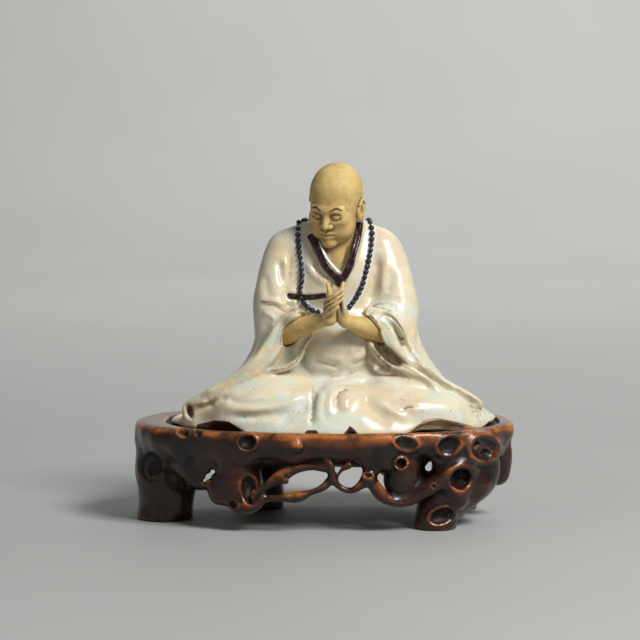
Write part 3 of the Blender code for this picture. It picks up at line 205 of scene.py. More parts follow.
class Clay:
    """A block of voxels that holds the distance to the surface of a form, negative inside it."""

    def __init__(self, low, high, voxel):
        self.voxel = voxel
        self.low = np.array(low, np.float64)
        self.count = np.ceil((np.array(high) - self.low) / voxel).astype(int) + 1
        self.distance = np.full(self.count, AIR, np.float32)

    def window(self, form, blend):
        """The voxels that a form may change, as slices, and their coordinates."""
        first = np.floor((form.low - blend - self.low) / self.voxel).astype(int)
        last = np.ceil((form.high + blend - self.low) / self.voxel).astype(int) + 1
        first = np.clip(first, 0, self.count)
        last = np.clip(last, first, self.count)
        axes = [
            (self.low[i] + self.voxel * np.arange(first[i], last[i])).astype(np.float32) for i in range(3)
        ]
        slices = tuple(slice(a, b) for a, b in zip(first, last))
        return slices, np.meshgrid(*axes, indexing="ij", sparse=True)

    def add(self, form, blend=0.0):
        slices, at = self.window(form, blend)
        self.distance[slices] = smooth_min(self.distance[slices], form.distance(*at), blend)

    def cut(self, form, blend=0.0):
        slices, at = self.window(form, blend)
        self.distance[slices] = -smooth_min(-self.distance[slices], form.distance(*at), blend)

    def levels(self):
        """The height of each layer of voxels."""
        return (self.low[2] + self.voxel * np.arange(self.count[2])).astype(np.float32)[None, None, :]

    def keep_above(self, height, blend):
        self.distance = -smooth_min(-self.distance, self.levels() - height, blend)

    def keep_below(self, height, blend):
        self.distance = -smooth_min(-self.distance, height - self.levels(), blend)

    def mesh(self, name):
        """The surface of the clay, as a mesh of quads."""
        grid = openvdb.FloatGrid(AIR)
        grid.copyFromArray(self.distance)
        points, _, quads = grid.convertToPolygons(0.0, 0.0)
        return mesh_of(name, points * self.voxel + self.low, quads)


def mesh_of(name, points, quads):
    corners = np.asarray(quads, np.int32).ravel()
    mesh = bpy.data.meshes.new(name)
    mesh.vertices.add(len(points))
    mesh.vertices.foreach_set("co", np.asarray(points, np.float32).ravel())
    mesh.loops.add(len(corners))
    mesh.loops.foreach_set("vertex_index", corners)
    mesh.polygons.add(len(quads))
    mesh.polygons.foreach_set("loop_start", np.arange(0, len(corners), 4, dtype=np.int32))
    mesh.update(calc_edges=True)
    return mesh


def read(items, name, width, kind=np.float32):
    """A row of numbers for each vertex, edge or face."""
    values = np.empty(len(items) * width, kind)
    items.foreach_get(name, values)
    return values.reshape(-1, width)


def places_of(mesh):
    return read(mesh.vertices, "co", 3)


def normals_of(mesh):
    return read(mesh.vertex_normals, "vector", 3)


def edges_of(mesh):
    return read(mesh.edges, "vertices", 2, np.int32)


def move(mesh, place):
    """Puts the vertices at new places."""
    mesh.vertices.foreach_set("co", place.astype(np.float32).ravel())
    mesh.update()


def even(values, edges, rounds):
    """Values at the vertices, each averaged with its neighbours, again and again."""
    values = np.array(values, np.float64)
    a, b = edges.T
    count = len(values)
    share = np.bincount(a, minlength=count) + np.bincount(b, minlength=count)
    columns = values.reshape(count, -1)
    for _ in range(rounds):
        for k in range(columns.shape[1]):
            c = columns[:, k]
            total = np.bincount(a, c[b], minlength=count) + np.bincount(b, c[a], minlength=count)
            columns[:, k] = 0.4 * c + 0.6 * total / np.maximum(share, 1)
    return columns.reshape(values.shape)


class Relief:
    """Lines and hollows pressed into a mesh, laid out on the upright plane y = 0 as one eye sees it."""

    def __init__(self, mesh, eye):
        self.mesh = mesh
        self.place = places_of(mesh)
        self.normal = normals_of(mesh)
        eye = np.array(eye, np.float32)
        to_eye = eye - self.place
        share = eye[1] / (eye[1] - self.place[:, 1])
        self.seen = eye[[0, 2]] + (self.place[:, [0, 2]] - eye[[0, 2]]) * share[:, None]
        facing = (self.normal * to_eye).sum(axis=1) / np.linalg.norm(to_eye, axis=1)
        self.facing = np.clip(facing * 3.0, 0, 1)
        self.rise = np.zeros(len(self.place), np.float32)

    def near(self, low, high):
        inside = np.all((self.seen > low) & (self.seen < high), axis=1) & (self.facing > 0)
        return np.nonzero(inside)[0]

    def nearest(self, points, reach):
        """Points near a line: which, how far off, on which side, how far along, how wide there."""
        path = route(points)
        index = self.near(path[:, :2].min(axis=0) - reach, path[:, :2].max(axis=0) + reach)
        at = self.seen[index]
        off = np.full(len(index), 1e9)
        side, along, width = (np.zeros(len(index)) for _ in range(3))
        steps = len(path) - 1
        for i, (a, b) in enumerate(zip(path, path[1:])):
            d = b[:2] - a[:2]
            rel = at - a[:2]
            t = np.clip(rel @ d / max(d @ d, 1e-9), 0, 1)
            gap = np.linalg.norm(rel - t[:, None] * d, axis=1)
            closer = gap < off
            off[closer] = gap[closer]
            side[closer] = np.sign(d[0] * rel[closer, 1] - d[1] * rel[closer, 0])
            along[closer] = (i + t[closer]) / steps
            width[closer] = a[2] + t[closer] * (b[2] - a[2])
        return index, off, side, along, width

    def shape_line(self, points, taper, sharp):
        """Along a line: which points, and how strongly the line acts on each."""
        reach = LINE_REACH * max(p[2] for p in points)
        index, off, side, along, width = self.nearest(points, reach)
        ends = np.clip(np.minimum(along, 1 - along) / taper, 0, 1) if taper > 0 else 1.0
        return index, ends * np.exp(-((off / width) ** sharp)), side, off, width, ends

    def line(self, points, height, taper=0.2):
        """A ridge, or with a negative height a groove. Each point's third number is its width."""
        index, amount, *_ = self.shape_line(points, taper, 2.0)
        self.rise[index] += height * amount

    def step(self, points, height, taper):
        """An edge of cloth: the left of the line stands up at once and falls off over its width."""
        index, _, side, off, width, ends = self.shape_line(points, taper, 2.0)
        signed = side * off
        raised = (0.5 + 0.5 * np.tanh(signed / EDGE_TURN)) * np.exp(-np.maximum(signed, 0) / width)
        self.rise[index] += height * ends * raised

    def inside(self, corners, soft):
        """How far inside an outline, listed anticlockwise and without dents, each point lies: 0 to 1."""
        corners = np.array(corners, np.float64)
        index = self.near(corners.min(axis=0) - soft, corners.max(axis=0) + soft)
        depth = np.full(len(index), 1e9)
        for a, b in zip(corners, np.roll(corners, -1, axis=0)):
            d = (b - a) / np.linalg.norm(b - a)
            rel = self.seen[index] - a
            depth = np.minimum(depth, d[0] * rel[:, 1] - d[1] * rel[:, 0])
        return index, np.clip(depth / soft + 0.5, 0, 1)

    def pit(self, centre, radii, depth, rim=0.0, lean=0.0):
        """An oval hollow, leaning by some degrees, with a rounded rim if asked."""
        off, index = self.oval(centre, radii, lean)
        self.rise[index] -= np.where(off < 1, depth * np.clip(1 - off**PIT_STEEPNESS, 0, 1), 0)
        if rim:
            self.rise[index] += rim * np.exp(-(((off - 1.15) / 0.22) ** 2))

    def oval(self, centre, radii, lean=0.0):
        c, s = math.cos(math.radians(lean)), math.sin(math.radians(lean))
        reach = 2.2 * max(radii)
        index = self.near(np.array(centre) - reach, np.array(centre) + reach)
        rel = self.seen[index] - np.array(centre)
        across = (rel[:, 0] * c + rel[:, 1] * s) / radii[0]
        up = (rel[:, 1] * c - rel[:, 0] * s) / radii[1]
        return np.hypot(across, up), index

    def press(self):
        move(self.mesh, self.place + self.normal * (self.rise * self.facing)[:, None])


def wobble(place, size):
    """A smooth, endless unevenness of about this size, between -1 and 1."""
    x, y, z = (place / size).T
    seed = size
    return (
        np.sin(x * 1.7 + 1.3 * np.sin(y * 1.1 + seed) + seed)
        * np.sin(y * 1.5 + 1.1 * np.sin(z * 1.3 + 2.0 * seed) + 1.0)
        * np.sin(z * 1.6 + 1.2 * np.sin(x * 1.2 - seed) + 2.0)
    )


def remeshed(mesh, voxel, name):
    """The same surface in even quads."""
    quads = read(mesh.polygons, "vertices", 4, np.int32).astype(np.uint32)
    points = np.ascontiguousarray(places_of(mesh) / voxel, dtype=np.float32)
    grid = openvdb.FloatGrid.createLevelSetFromPolygons(points, quads=quads, halfWidth=3.0)
    points, _, quads = grid.convertToPolygons(0.0, 0.0)
    # a level set's quads face inward, unlike those of plain distances
    return mesh_of(name, points * voxel, quads[:, ::-1])


def lightened(mesh, name):
    """The mesh brought down to the most triangles it may have, with most of them where it bends."""
    piece = bpy.data.objects.new(name, mesh)
    bpy.context.scene.collection.objects.link(piece)
    modifier = piece.modifiers.new("Lighten", "DECIMATE")
    modifier.ratio = MOST_TRIANGLES / (2 * len(mesh.polygons))
    modifier.use_collapse_triangulate = True
    depsgraph = bpy.context.evaluated_depsgraph_get()
    light = bpy.data.meshes.new_from_object(piece.evaluated_get(depsgraph))
    light.name = name
    bpy.data.objects.remove(piece)
    return light


def give(mesh, name, values):
    attribute = mesh.attributes.new(name, "FLOAT", "POINT")
    attribute.data.foreach_set("value", np.asarray(values, np.float32))


def bent(mesh, rounds, spread):
    """How the surface bends at each vertex: above 0 on ridges and below 0 in hollows, about 1 at most."""
    place, normal, edges = places_of(mesh), normals_of(mesh), edges_of(mesh)
    smooth = even(place, edges, rounds)
    return np.clip(((place - smooth) * normal).sum(axis=1) / spread, -1, 1)


# The figure

# Height, then the reach left, right, front and back
BODY_OUTLINES = [
    (-12, 119, 117, 76, 72), (0, 118, 116, 76, 72), (4, 115, 115, 73, 70),
    (9, 109, 110, 67, 67), (18, 97, 96, 57, 62), (25, 88, 89, 50, 59),
    (33, 79, 79, 43, 56), (40, 73, 73, 38, 54), (52, 65, 65, 33, 50),
    (70, 60, 58, 29.5, 47), (98, 56, 52, 26, 43), (117, 53.5, 49, 24, 38),
    (125, 51.5, 46, 22, 35), (135, 45.5, 39, 19, 31), (142, 38, 32, 16, 26),
    (148, 27, 23, 12, 20),
]


def robed_body(clay):
    """The seated body under its robe."""
    clay.add(shell_of_outlines(BODY_OUTLINES, 2.1))


def seen(*points, eye=FIGURE_FRONT_EYE):
    """Points in front as they show: across and up on the upright plane, then depth and radius."""
    eye = np.array(eye)
    found = []
    for u, w, y, radius in points:
        flat = np.array((u, 0.0, w))
        found.append((*(flat + (eye - flat) * (y / eye[1])), radius))
    return found


def trunk(clay):
    clay.add(bulb((0, -6, 107), (32, 22, 36)), 6)
    clay.add(bulb((1, -16, 60), (31, 27, 27)), 8)
    clay.add(limb([(-11, -2, 138, 12), (0, -3, 140, 13), (11, -2, 138, 12)]), 8)


def crossed_legs(clay):
    clay.add(limb([(-24, -4, 21, 21), (-74, -34, 12, 17)]), 14)
    clay.add(limb([(24, -4, 21, 21), (74, -34, 12, 17)]), 14)
    clay.add(limb([(-72, -42, 5, 15), (-20, -57, 5, 14), (10, -57, 4, 13)]), 12)
    clay.add(limb([(72, -42, 5, 15), (25, -57, 5, 14), (-5, -57, 4, 13)]), 12)
    clay.add(bulb((-50, -46, 20), (33, 17, 10), turned(y=-7)), 8)
    clay.add(bulb((52, -46, 16), (34, 18, 12)), 10)
    clay.add(bulb((-3, -48, 17), (21, 19, 14)), 8)
    clay.add(bulb((2, -40, 20), (40, 21, 14)), 12)
    clay.add(bulb((-47, -38, 30), (25, 12, 10), turned(y=-7)), 8)
    clay.add(limb([(34, -41, 30, 8), (50, -40, 29.5, 8.5), (68, -37, 22, 8)]), 8)


def upper_arms(clay):
    left = [(-37, -4, 127, 13.6), (-43.8, -11, 106, 14.8), (-46.4, -16, 84, 15.8), (-44, -20, 69, 15)]
    clay.add(limb(left), 7)
    clay.add(limb([(31, -4, 128, 14), (39, -11, 105, 14.5), (42.5, -16, 83, 16), (40, -20, 71, 15)]), 7)


def sleeves(clay):
    """The cuffs, and the long drops of cloth that hang from the forearms to the corners of the lap."""
    clay.add(limb([(-44, -19, 71, 15), (-37, -30, 76, 9.5), (-28, -38.5, 81, 6)]), 6)
    clay.add(limb([(39, -20, 73, 15), (32, -34, 78, 11), (24, -42, 81.5, 7.5)]), 6)
    left = [
        (-45, -27, 65, 12), (-52, -31, 49, 12), (-64, -33, 34, 12), (-82, -32, 20, 10), (-102, -28, 8, 7),
    ]
    right = [(42, -27, 67, 12), (47, -31, 52, 12), (59, -34, 38, 12), (76, -33, 24, 10), (99, -28, 8, 7)]
    clay.add(limb(left), 8)
    clay.add(limb(right), 8)


def sleeve_edges(clay):
    """The rolled edge of each sleeve's mouth, from over the wrist to the lap, and the lip inside it."""
    left = seen(
        (-25.5, 81.4, -43, 1.9), (-31, 80.2, -44, 2.0), (-36.3, 77.4, -44, 2.4), (-41.3, 72.7, -43, 3.3),
        (-44.6, 65.5, -42, 4.3), (-48, 57.8, -41, 4.8), (-53, 49, -41, 5.1), (-61, 40.5, -41, 5.0),
        (-70, 34, -40, 4.6), (-81, 28, -38, 4.2), (-92, 21.5, -36, 4.0), (-101, 17.2, -33, 4.2),
        (-108.6, 13.4, -30, 3.8),
    )
    clay.add(limb(left), 3.5)
    right = seen(
        (20, 80.5, -43, 3.0), (28, 77.5, -44, 3.6), (32.5, 72, -44, 4.0), (37, 64.5, -44, 4.4),
        (42, 56.5, -43.5, 4.6), (48, 49, -43, 4.6), (55, 42, -43, 4.4), (66, 34, -42, 4.2),
        (79, 26, -40, 4.2), (90, 20, -37, 4.0), (103, 13, -33, 4.0),
    )
    clay.add(limb(right), 3.5)
    clay.add(limb(seen((33, 80, -42, 3.5), (40, 76, -43, 5.0), (45.5, 67, -42, 4.5), (47, 62, -41, 3))), 2)
    clay.add(limb(seen(
        (-19, 66, -40, 1.6), (-25, 56, -42, 1.9), (-29, 47, -43, 2.1), (-38.5, 40.5, -44, 2.1),
        (-51, 38, -44, 1.8),
    )), 2)
    lip = seen(
        (23, 60, -40, 1.8), (27, 52.5, -43, 2.0), (31, 47.7, -44, 2.2), (35.7, 44, -45, 2.3),
        (42, 42, -45.5, 2.3), (54, 36.7, -46, 2.2), (64, 32.8, -45.5, 2.1), (71.2, 25.6, -45, 2.0),
        (79.8, 18.8, -44, 1.6),
    )
    clay.add(limb(lip), 2)


COLLAR = [
    (-15, -16, 129.5, 2.4),
    (-17, -8, 137, 2.8),
    (-12, 3, 144, 3.0),
    (0, 7, 146, 3.0),
    (11, 3, 146, 3.0),
    (15, -8, 142, 2.8),
    (13, -17, 133.5, 2.4),
]
FOREARM_LEFT = [
    (-44, -27, 68.5, 10.0), (-38.2, -32, 70.3, 9.6), (-27.8, -41.5, 74.9, 7.4), (-15, -50.5, 79.3, 5.3),
    (-6.5, -57, 82, 4.9),
]
FOREARM_RIGHT = [
    (37, -28, 69, 8.6), (29.2, -35, 71.7, 8.6), (22.8, -41, 73.8, 8.1), (16.9, -46, 75.4, 7.2),
    (11.1, -51, 77.7, 5.6), (4.4, -57, 80.4, 4.4),
]


def hem(clay):
    """The edge of the robe on the stand: a curled corner, a flared one, and where it lifts or is chipped."""
    clay.add(limb([(-110, -16, 0, 6), (-118.5, -2, -1, 5.5), (-115, 14, -1, 6)]), 4)
    clay.add(limb([(-110, -26, 4, 5), (-106, -27, 9, 5.5), (-98, -27, 14, 5)]), 4)
    clay.add(limb(seen(
        (-107, 14.6, -28, 2.0), (-111.6, 12.6, -29, 2.4), (-112.8, 7.5, -29, 2.5), (-110.4, 2, -29, 2.8),
        (-108, -2, -29, 3.0),
    )), 1.5)
    clay.cut(bulb((-107.8, -35, 12.2), (2.4, 10, 5.8), turned(y=-12)), 0.8)
    clay.add(bulb((103, -16, 5), (12.5, 16, 4.6)), 4)
    clay.cut(bulb((112.4, -20, -1.2), (9.4, 26, 5.0), turned(y=-40)), 0.6)
    # the broken edge at the left, and the lifted one at the right with the shade under it
    clay.cut(limb([
        (-99, -49, -3, 5), (-92, -55, -1, 8), (-84, -59, -1, 8.6), (-76, -63, -2, 7), (-68, -67, -4, 5),
    ]), 0.8)
    clay.cut(limb([
        (53, -71, -3, 5.5), (62, -67.5, -1, 8.5), (70, -65.5, 0, 9.5), (80, -61.5, -1, 9.2),
        (92, -55, -2.5, 8.5), (102, -46, -4, 7),
    ]), 0.8)
    clay.cut(bulb((76, -62, -0.5), (26, 12, 2.8)), 0.4)
    clay.cut(bulb((-18, -80, 0), (6, 6, 1.8)), 0.4)
    clay.cut(bulb((9, -80, 0), (5, 6, 4.2)), 0.4)


def opened_sleeves(clay):
    """The mouths of the sleeves round the forearms, and the deep hollow under the right one."""
    for arm in (FOREARM_LEFT, FOREARM_RIGHT):
        clay.cut(limb([(x, y, z, r + 0.7) for x, y, z, r in arm]), 1.0)
    clay.cut(limb(seen(
        (-36, 60, -41, 3.4), (-38, 53, -46, 3.8), (-43.5, 45.5, -49, 3.0), (-52, 40, -50, 1.4),
    )), 3)
    clay.cut(limb(seen(
        (27, 58, -36, 3.6), (33, 54.5, -41, 4.8), (39, 48, -44, 4.6), (49, 42, -47.5, 2.4),
    )), 1.5)
    clay.cut(limb(seen((27, 46.5, -40, 1.8), (32, 43.5, -43, 2.2), (38.5, 38.8, -47, 1.4))), 1)


def lapels(clay):
    """Two bands that cross on the chest, with the skin deep between them."""
    clay.cut(bulb((1, -30, 128), (9, 9, 17), turned(x=-12)), 2)
    left = seen(
        (-17.5, 134, -22, 3.4), (-13.3, 125, -26, 3.2), (-8.6, 116, -28, 3.1), (-1.8, 108.5, -29, 3.0),
        (2.6, 104, -29, 2.6),
    )
    clay.add(limb(left), 2)
    right = seen(
        (15.8, 146, -14, 3.0), (14, 134.5, -22, 3.3), (11, 124, -27, 3.4), (8, 115.5, -29.5, 3.4),
        (3, 106, -31, 3.2), (-4, 98, -31, 2.6),
    )
    clay.add(limb(right), 2)


def robe_clay(voxel):
    clay = Clay((-126, -84, -3), (124, 80, 156), voxel)
    robed_body(clay)
    trunk(clay)
    crossed_legs(clay)
    upper_arms(clay)
    sleeves(clay)
    sleeve_edges(clay)
    opened_sleeves(clay)
    hem(clay)
    clay.add(limb(COLLAR), 2)
    lapels(clay)
    clay.keep_above(0.0, 1.0)
    return clay


LAPEL_LEFT = [(-18, 134.5), (-13.3, 124.9), (-8.6, 115.5), (-1.8, 108.1), (2.4, 103.9)]
LAPEL_LEFT_INNER = [(-14.0, 134), (-12.3, 130.2), (-8.1, 121.8), (-1.8, 114.2), (2.6, 110.0)]
LAPEL_RIGHT = [(15.5, 146), (13.4, 134.3), (10.3, 123.9), (8.2, 115.5), (3.5, 107.1), (-2.8, 99.7)]
SLEEVE_LEFT_OUTER = [
    (-25.9, 82.8), (-33.2, 80.2), (-39.5, 77.5), (-44.8, 73.4), (-50.1, 64.9), (-55.3, 56.5), (-59.6, 49.1),
    (-66.9, 41.4), (-80.6, 31.4), (-91.2, 24.8), (-101.7, 19),
]
SLEEVE_LEFT_BAND = [
    (-34, 78.2), (-41, 72.6), (-45, 65.6), (-48, 57), (-53, 48.8), (-61.5, 40), (-70.5, 34), (-82, 28),
    (-94, 21),
]
SLEEVE_LEFT_INNER = [
    (-25, 80), (-30, 79.2), (-35, 76.3), (-38.5, 71.3), (-40.3, 63.9), (-42, 57), (-46.5, 49.1),
    (-55.4, 39.9), (-66.9, 33.2), (-81.5, 26), (-91, 18.4), (-99, 14.8), (-106, 13.2),
]
SLEEVE_LEFT_FAR = [(-19.6, 65.0), (-25.9, 55.4), (-29, 47.5), (-38.5, 40.4), (-51.2, 38.0)]
SLEEVE_RIGHT_OUTER = [
    (44, 76), (47.6, 67.0), (52.6, 56.5), (58, 46.2), (64.5, 39.6), (80.9, 28.2), (95.6, 20.5), (108, 13),
]
SLEEVE_RIGHT_EDGE = [
    (30, 76.5), (35.8, 72.5), (40.8, 64.9), (46.1, 57.5), (52.4, 50.1), (58.5, 43.4), (66.1, 36.8),
    (77, 28.6), (90, 21.4), (102, 15),
]
SLEEVE_RIGHT_INNER = [
    (25.5, 79), (28.2, 74.5), (31.2, 67.5), (35.6, 57.9), (40.8, 49.6), (48, 43.0), (58, 37.6),
    (70, 29.6), (82, 21.4), (94, 14.6),
]
SLEEVE_RIGHT_FAR = [
    (24, 58.5), (27.5, 52), (31, 47.7), (35.7, 44), (42, 42), (54, 36.7), (64, 32.8), (71.2, 25.6),
    (79.8, 18.8),
]
BELLY = [
    (-21, 62), (-26.8, 52.2), (-26.8, 43.8), (-19.7, 37.6), (-6.3, 35.6), (7.1, 36.6), (18.8, 41.8),
    (24.5, 48.5), (24, 58),
]


def wide(points, *widths):
    """A line's points, each with a width eased from the few given along it."""
    at = np.linspace(0, 1, len(points))
    found = np.interp(at, np.linspace(0, 1, len(widths)), widths)
    return [(u, w, float(width)) for (u, w), width in zip(points, found)]


# The big forms of the cloth in front: each line's points, its widths, its height, and its taper where
# that isn't the usual one
MAIN_FOLDS = (
    # where the arms meet the chest
    ([(-33.5, 130), (-34.8, 113.4), (-37.5, 97.6), (-39, 88)], (3.0, 3.0), -2.2),
    ([(-43.2, 121), (-42.1, 111.3), (-40.0, 102)], (2.4, 2.6), -2.2),
    ([(-38.5, 122), (-38.5, 111), (-38.6, 101)], (2.0, 2.2), 1.2),
    ([(-53.2, 110), (-52.6, 100), (-50, 91)], (3, 3), -1.3),
    ([(29.2, 126), (27.6, 110.2), (26.0, 99), (22, 86)], (3.2, 3.4), -3.4),
    ([(36, 122), (33, 108), (31, 97)], (2.6, 2.8), 1.3),
    ([(41, 112), (38, 103), (37, 95)], (2.6, 2.8), -1.4),
    # left sleeve: a band between two edges
    (SLEEVE_LEFT_BAND, (3.4, 4.0, 3.2), -2.4, 0.12),
    (SLEEVE_LEFT_OUTER, (1.8, 2.2, 2.4), 2.6, 0.08),
    (SLEEVE_LEFT_INNER, (1.4, 1.8, 2.0), 2.0, 0.08),
    ([(-50, 78), (-56, 68), (-60, 57), (-66, 47)], (4.0, 4.0), -1.8),
    (SLEEVE_LEFT_FAR, (1.2, 1.4), 1.0, 0.12),
    ([(-98, 14), (-90, 17), (-82, 20)], (2.4, 2.6), -2.4),
    # right sleeve
    ([(37, 77), (43, 67), (48.5, 57), (55, 48.5), (64, 40.5)], (1.5, 2.2, 2.0), -2.6),
    (SLEEVE_RIGHT_OUTER, (2.2, 2.4, 2.6), 2.8, 0.08),
    ([(63, 37.6), (78, 27.4), (94, 18.5), (106, 11)], (1.6, 2.0), -2.2),
    (SLEEVE_RIGHT_EDGE, (1.4, 1.6, 1.8), 1.2, 0.08),
    (SLEEVE_RIGHT_INNER, (1.4, 1.6, 1.8), 1.3, 0.08),
    ([(54, 40), (66, 34), (76, 26), (88, 18.5)], (1.4, 1.6), -1.8),
    (SLEEVE_RIGHT_FAR, (1.4, 1.6), 1.2, 0.1),
    # belly
    (BELLY, (3.0, 3.2), -3.6, 0.1),
    ([(-16, 50.5), (-5, 47.4), (6, 46)], (2.6, 3.2), 1.1),
    ([(-18.5, 46.8), (-9, 44.2), (1, 40.8)], (1.4, 1.7), -1.6),
    ([(-24.5, 44), (-19, 41), (-9, 39.4), (2, 38.8)], (1.9, 2.1), 1.3),
    ([(6, 58.5), (9, 55), (8, 51)], (2.4, 2.4), 0.9),
    ([(20.5, 55), (17, 50.4), (11, 45.8)], (1.8, 2.0), 1.5),
    ([(25, 50.4), (18, 45.4), (8.8, 41.7)], (1.1, 1.3), -1.6),
    ([(24, 46.5), (17, 42.6), (9, 39.6)], (1.4, 1.6), 1.1),
    # the left thigh as a long cushion, and the folds under it
    ([(-86, 21), (-77, 16.6), (-64, 14.4), (-50, 14.8), (-38, 17.5)], (2.7, 3.2), -2.2),
    ([(-84, 9.5), (-66, 9.4), (-48, 11.2), (-34, 15), (-27, 22)], (2.8, 3.2), 1.8),
    ([(-82, 4.5), (-62, 4.6), (-44, 6.4), (-31, 9.5)], (2.8, 3.2), -1.2),
    ([(-78, 0), (-58, 0), (-40, 1)], (2.8, 3.2), 1.2),
    ([(-8, 34), (-15, 25), (-24, 13), (-38, 4), (-54, -3)], (3.6, 5.0), -1.8),
    # the cloth drawn together in the middle
    ([(-17.9, 27), (-18.7, 12), (-19.7, -4)], (1.5, 1.8), -2.8, 0.2),
    ([(-13, 25), (-13.4, 12), (-14, -3)], (3.0, 3.4), 1.3),
    ([(-5, 25), (-6.5, 14), (-6, 2)], (2.2, 2.8), 1.3),
    ([(7.5, 24.8), (2.2, 23), (-1.0, 16.8), (0.6, 7)], (1.2, 1.6), -2.2, 0.25),
    ([(9, 19), (5.6, 15), (7, 7)], (3.2, 3.8), 1.6),
    # the right thigh
    ([(-4, 28.8), (14, 30), (40, 29.2)], (1.8, 2.4), -2.0, 0.3),
    ([(22, 25), (21.5, 17), (25, 10), (33, 4), (41, 1)], (3.6, 4.8), -2.2, 0.25),
    ([(29, 16.5), (35, 11), (44, 6), (52, 2)], (2.2, 2.8), 1.5, 0.3),
    ([(33, 23), (47, 22), (62, 21.5)], (2.4, 2.8), 1.3, 0.3),
    ([(38, 18.4), (52, 17.6), (66, 17.6)], (1.5, 1.8), -1.3, 0.3),
    ([(40, 14), (55, 13.8), (70, 14.6)], (2.0, 2.4), 1.2, 0.3),
    ([(46.8, 7.6), (51, 11.2), (56, 11.4)], (0.9, 1.1), -1.2, 0.3),
    ([(50, 8.6), (58, 9.4), (68, 9.2)], (1.6, 1.8), 1.0, 0.3),
    ([(-104, 12), (-98, 13), (-91, 14)], (2.2, 2.4), -1.4),
)


def press_lines(relief, table):
    for points, widths, height, *taper in table:
        relief.line(wide(points, *widths), height, *taper)


def main_folds(relief):
    press_lines(relief, MAIN_FOLDS)


CHEST_CREASES = (
    ([(-20.6, 119.6), (-13.3, 109.9), (-4.0, 104.8)], (1.7, 1.9), -1.0),
    ([(-25, 121), (-17.5, 108.5), (-6, 101)], (2.6, 2.8), 1.0),
)
CUFF_CREASES = (
    ([(-37, 91.2), (-22, 90.6), (-10, 92.2)], (0.9, 0.9), -0.6),
    (LAPEL_LEFT, (0.9, 0.9), -0.8, 0.1),
    (LAPEL_RIGHT, (0.9, 0.9), -0.9, 0.1),
    (LAPEL_LEFT_INNER, (0.8, 0.8), 1.2, 0.05),
    # left cuff
    ([(-58, 88.6), (-49, 90.2), (-40.6, 87.6), (-32.2, 83.9), (-23, 80)], (1.8, 1.6), 1.4, 0.25),
    ([(-57, 86), (-49, 86.8), (-42, 84), (-35, 80.6)], (1.4, 1.4), -1.5, 0.25),
    ([(-56, 82), (-50, 79.5), (-46, 75.5)], (2.0, 2.0), 0.9),
    ([(-31, 80.4), (-26.5, 80.2), (-22, 80.6)], (0.7, 0.6), -1.0, 0.3),
    # right cuff, gathered into small folds over the arm
    ([(18.7, 80.2), (25.0, 85.5), (32.4, 87.8), (39.7, 87.1), (43.5, 84.5)], (1.6, 1.8), 2.0, 0.15),
    ([(20.6, 79.6), (26.2, 83.4), (33.5, 84.6), (40, 82.6)], (0.9, 1.0), -2.0, 0.15),
    ([(22, 79.5), (28, 82.4), (35, 81.8), (41.5, 78), (46.6, 71)], (1.3, 1.4), 1.5, 0.15),
    ([(30, 79), (36, 79.6), (42, 75.2), (47, 68.4), (49.6, 62)], (0.8, 1.0), -1.6, 0.2),
    ([(49.5, 82), (53, 74), (54.4, 65)], (2.0, 2.0), -0.9),
)
SLEEVE_LIPS = (
    # crisp lips along the sleeve edges
    (SLEEVE_LEFT_OUTER, (0.8, 1.0), 0.6, 0.1),
    (SLEEVE_LEFT_INNER, (0.8, 0.9), 1.0, 0.1),
    (SLEEVE_RIGHT_OUTER, (0.8, 1.0), 0.6, 0.1),
    (SLEEVE_RIGHT_INNER, (0.8, 0.9), 0.8, 0.1),
    # creases in the flared corner at the right
    ([(96, 13.5), (101, 10.5), (106, 12)], (0.7, 0.7, 0.6), -0.5),
    ([(99, 6), (103, 10), (108, 8)], (0.7, 0.6, 0.6), -0.5),
)


def fine_folds(relief):
    """Edges of cloth, seams, cuffs and small creases in front."""
    press_lines(relief, CHEST_CREASES)
    relief.step(wide([(-37.5, 96.6), (-22, 94.9), (-7, 96.2)], 3.0), 1.4, taper=0.06)
    press_lines(relief, CUFF_CREASES)
    relief.pit((46.6, 62.2), (1.0, 1.6), 1.2)
    press_lines(relief, SLEEVE_LIPS)


def back_folds(relief):
    """Broad, plain folds down the back. Across runs as in front, so left stays left."""
    for lean in (-1, 1):
        relief.line([(lean * 30, 128, 4.0), (lean * 20, 98, 5.0), (lean * 7, 70, 5.0)], -2.0)
        relief.line([(lean * 36, 118, 4.0), (lean * 29, 88, 5.0), (lean * 18, 56, 5.0)], 1.6)
        relief.line([(lean * 6, 76, 4.5), (lean * 18, 40, 6.0), (lean * 40, 4, 6.0)], -2.2)
        relief.line([(lean * 20, 66, 4.5), (lean * 40, 36, 6.0), (lean * 72, 6, 6.0)], 2.0)
        relief.line([(lean * 44, 80, 4.0), (lean * 52, 48, 5.0), (lean * 80, 14, 5.0)], -2.0)
    relief.line([(0, 70, 5.0), (2, 38, 6.0), (4, 2, 6.0)], 2.0)


def uneven(mesh, amounts):
    """The slight unevenness of hand-modelled clay: pairs of size and height."""
    place, normal = places_of(mesh), normals_of(mesh)
    rise = sum(height * wobble(place, size) for size, height in amounts)
    move(mesh, place + normal * rise[:, None])


def soften(mesh, rounds, share=1.0):
    place = places_of(mesh)
    smooth = even(place, edges_of(mesh), rounds)
    move(mesh, place + (smooth - place) * share)


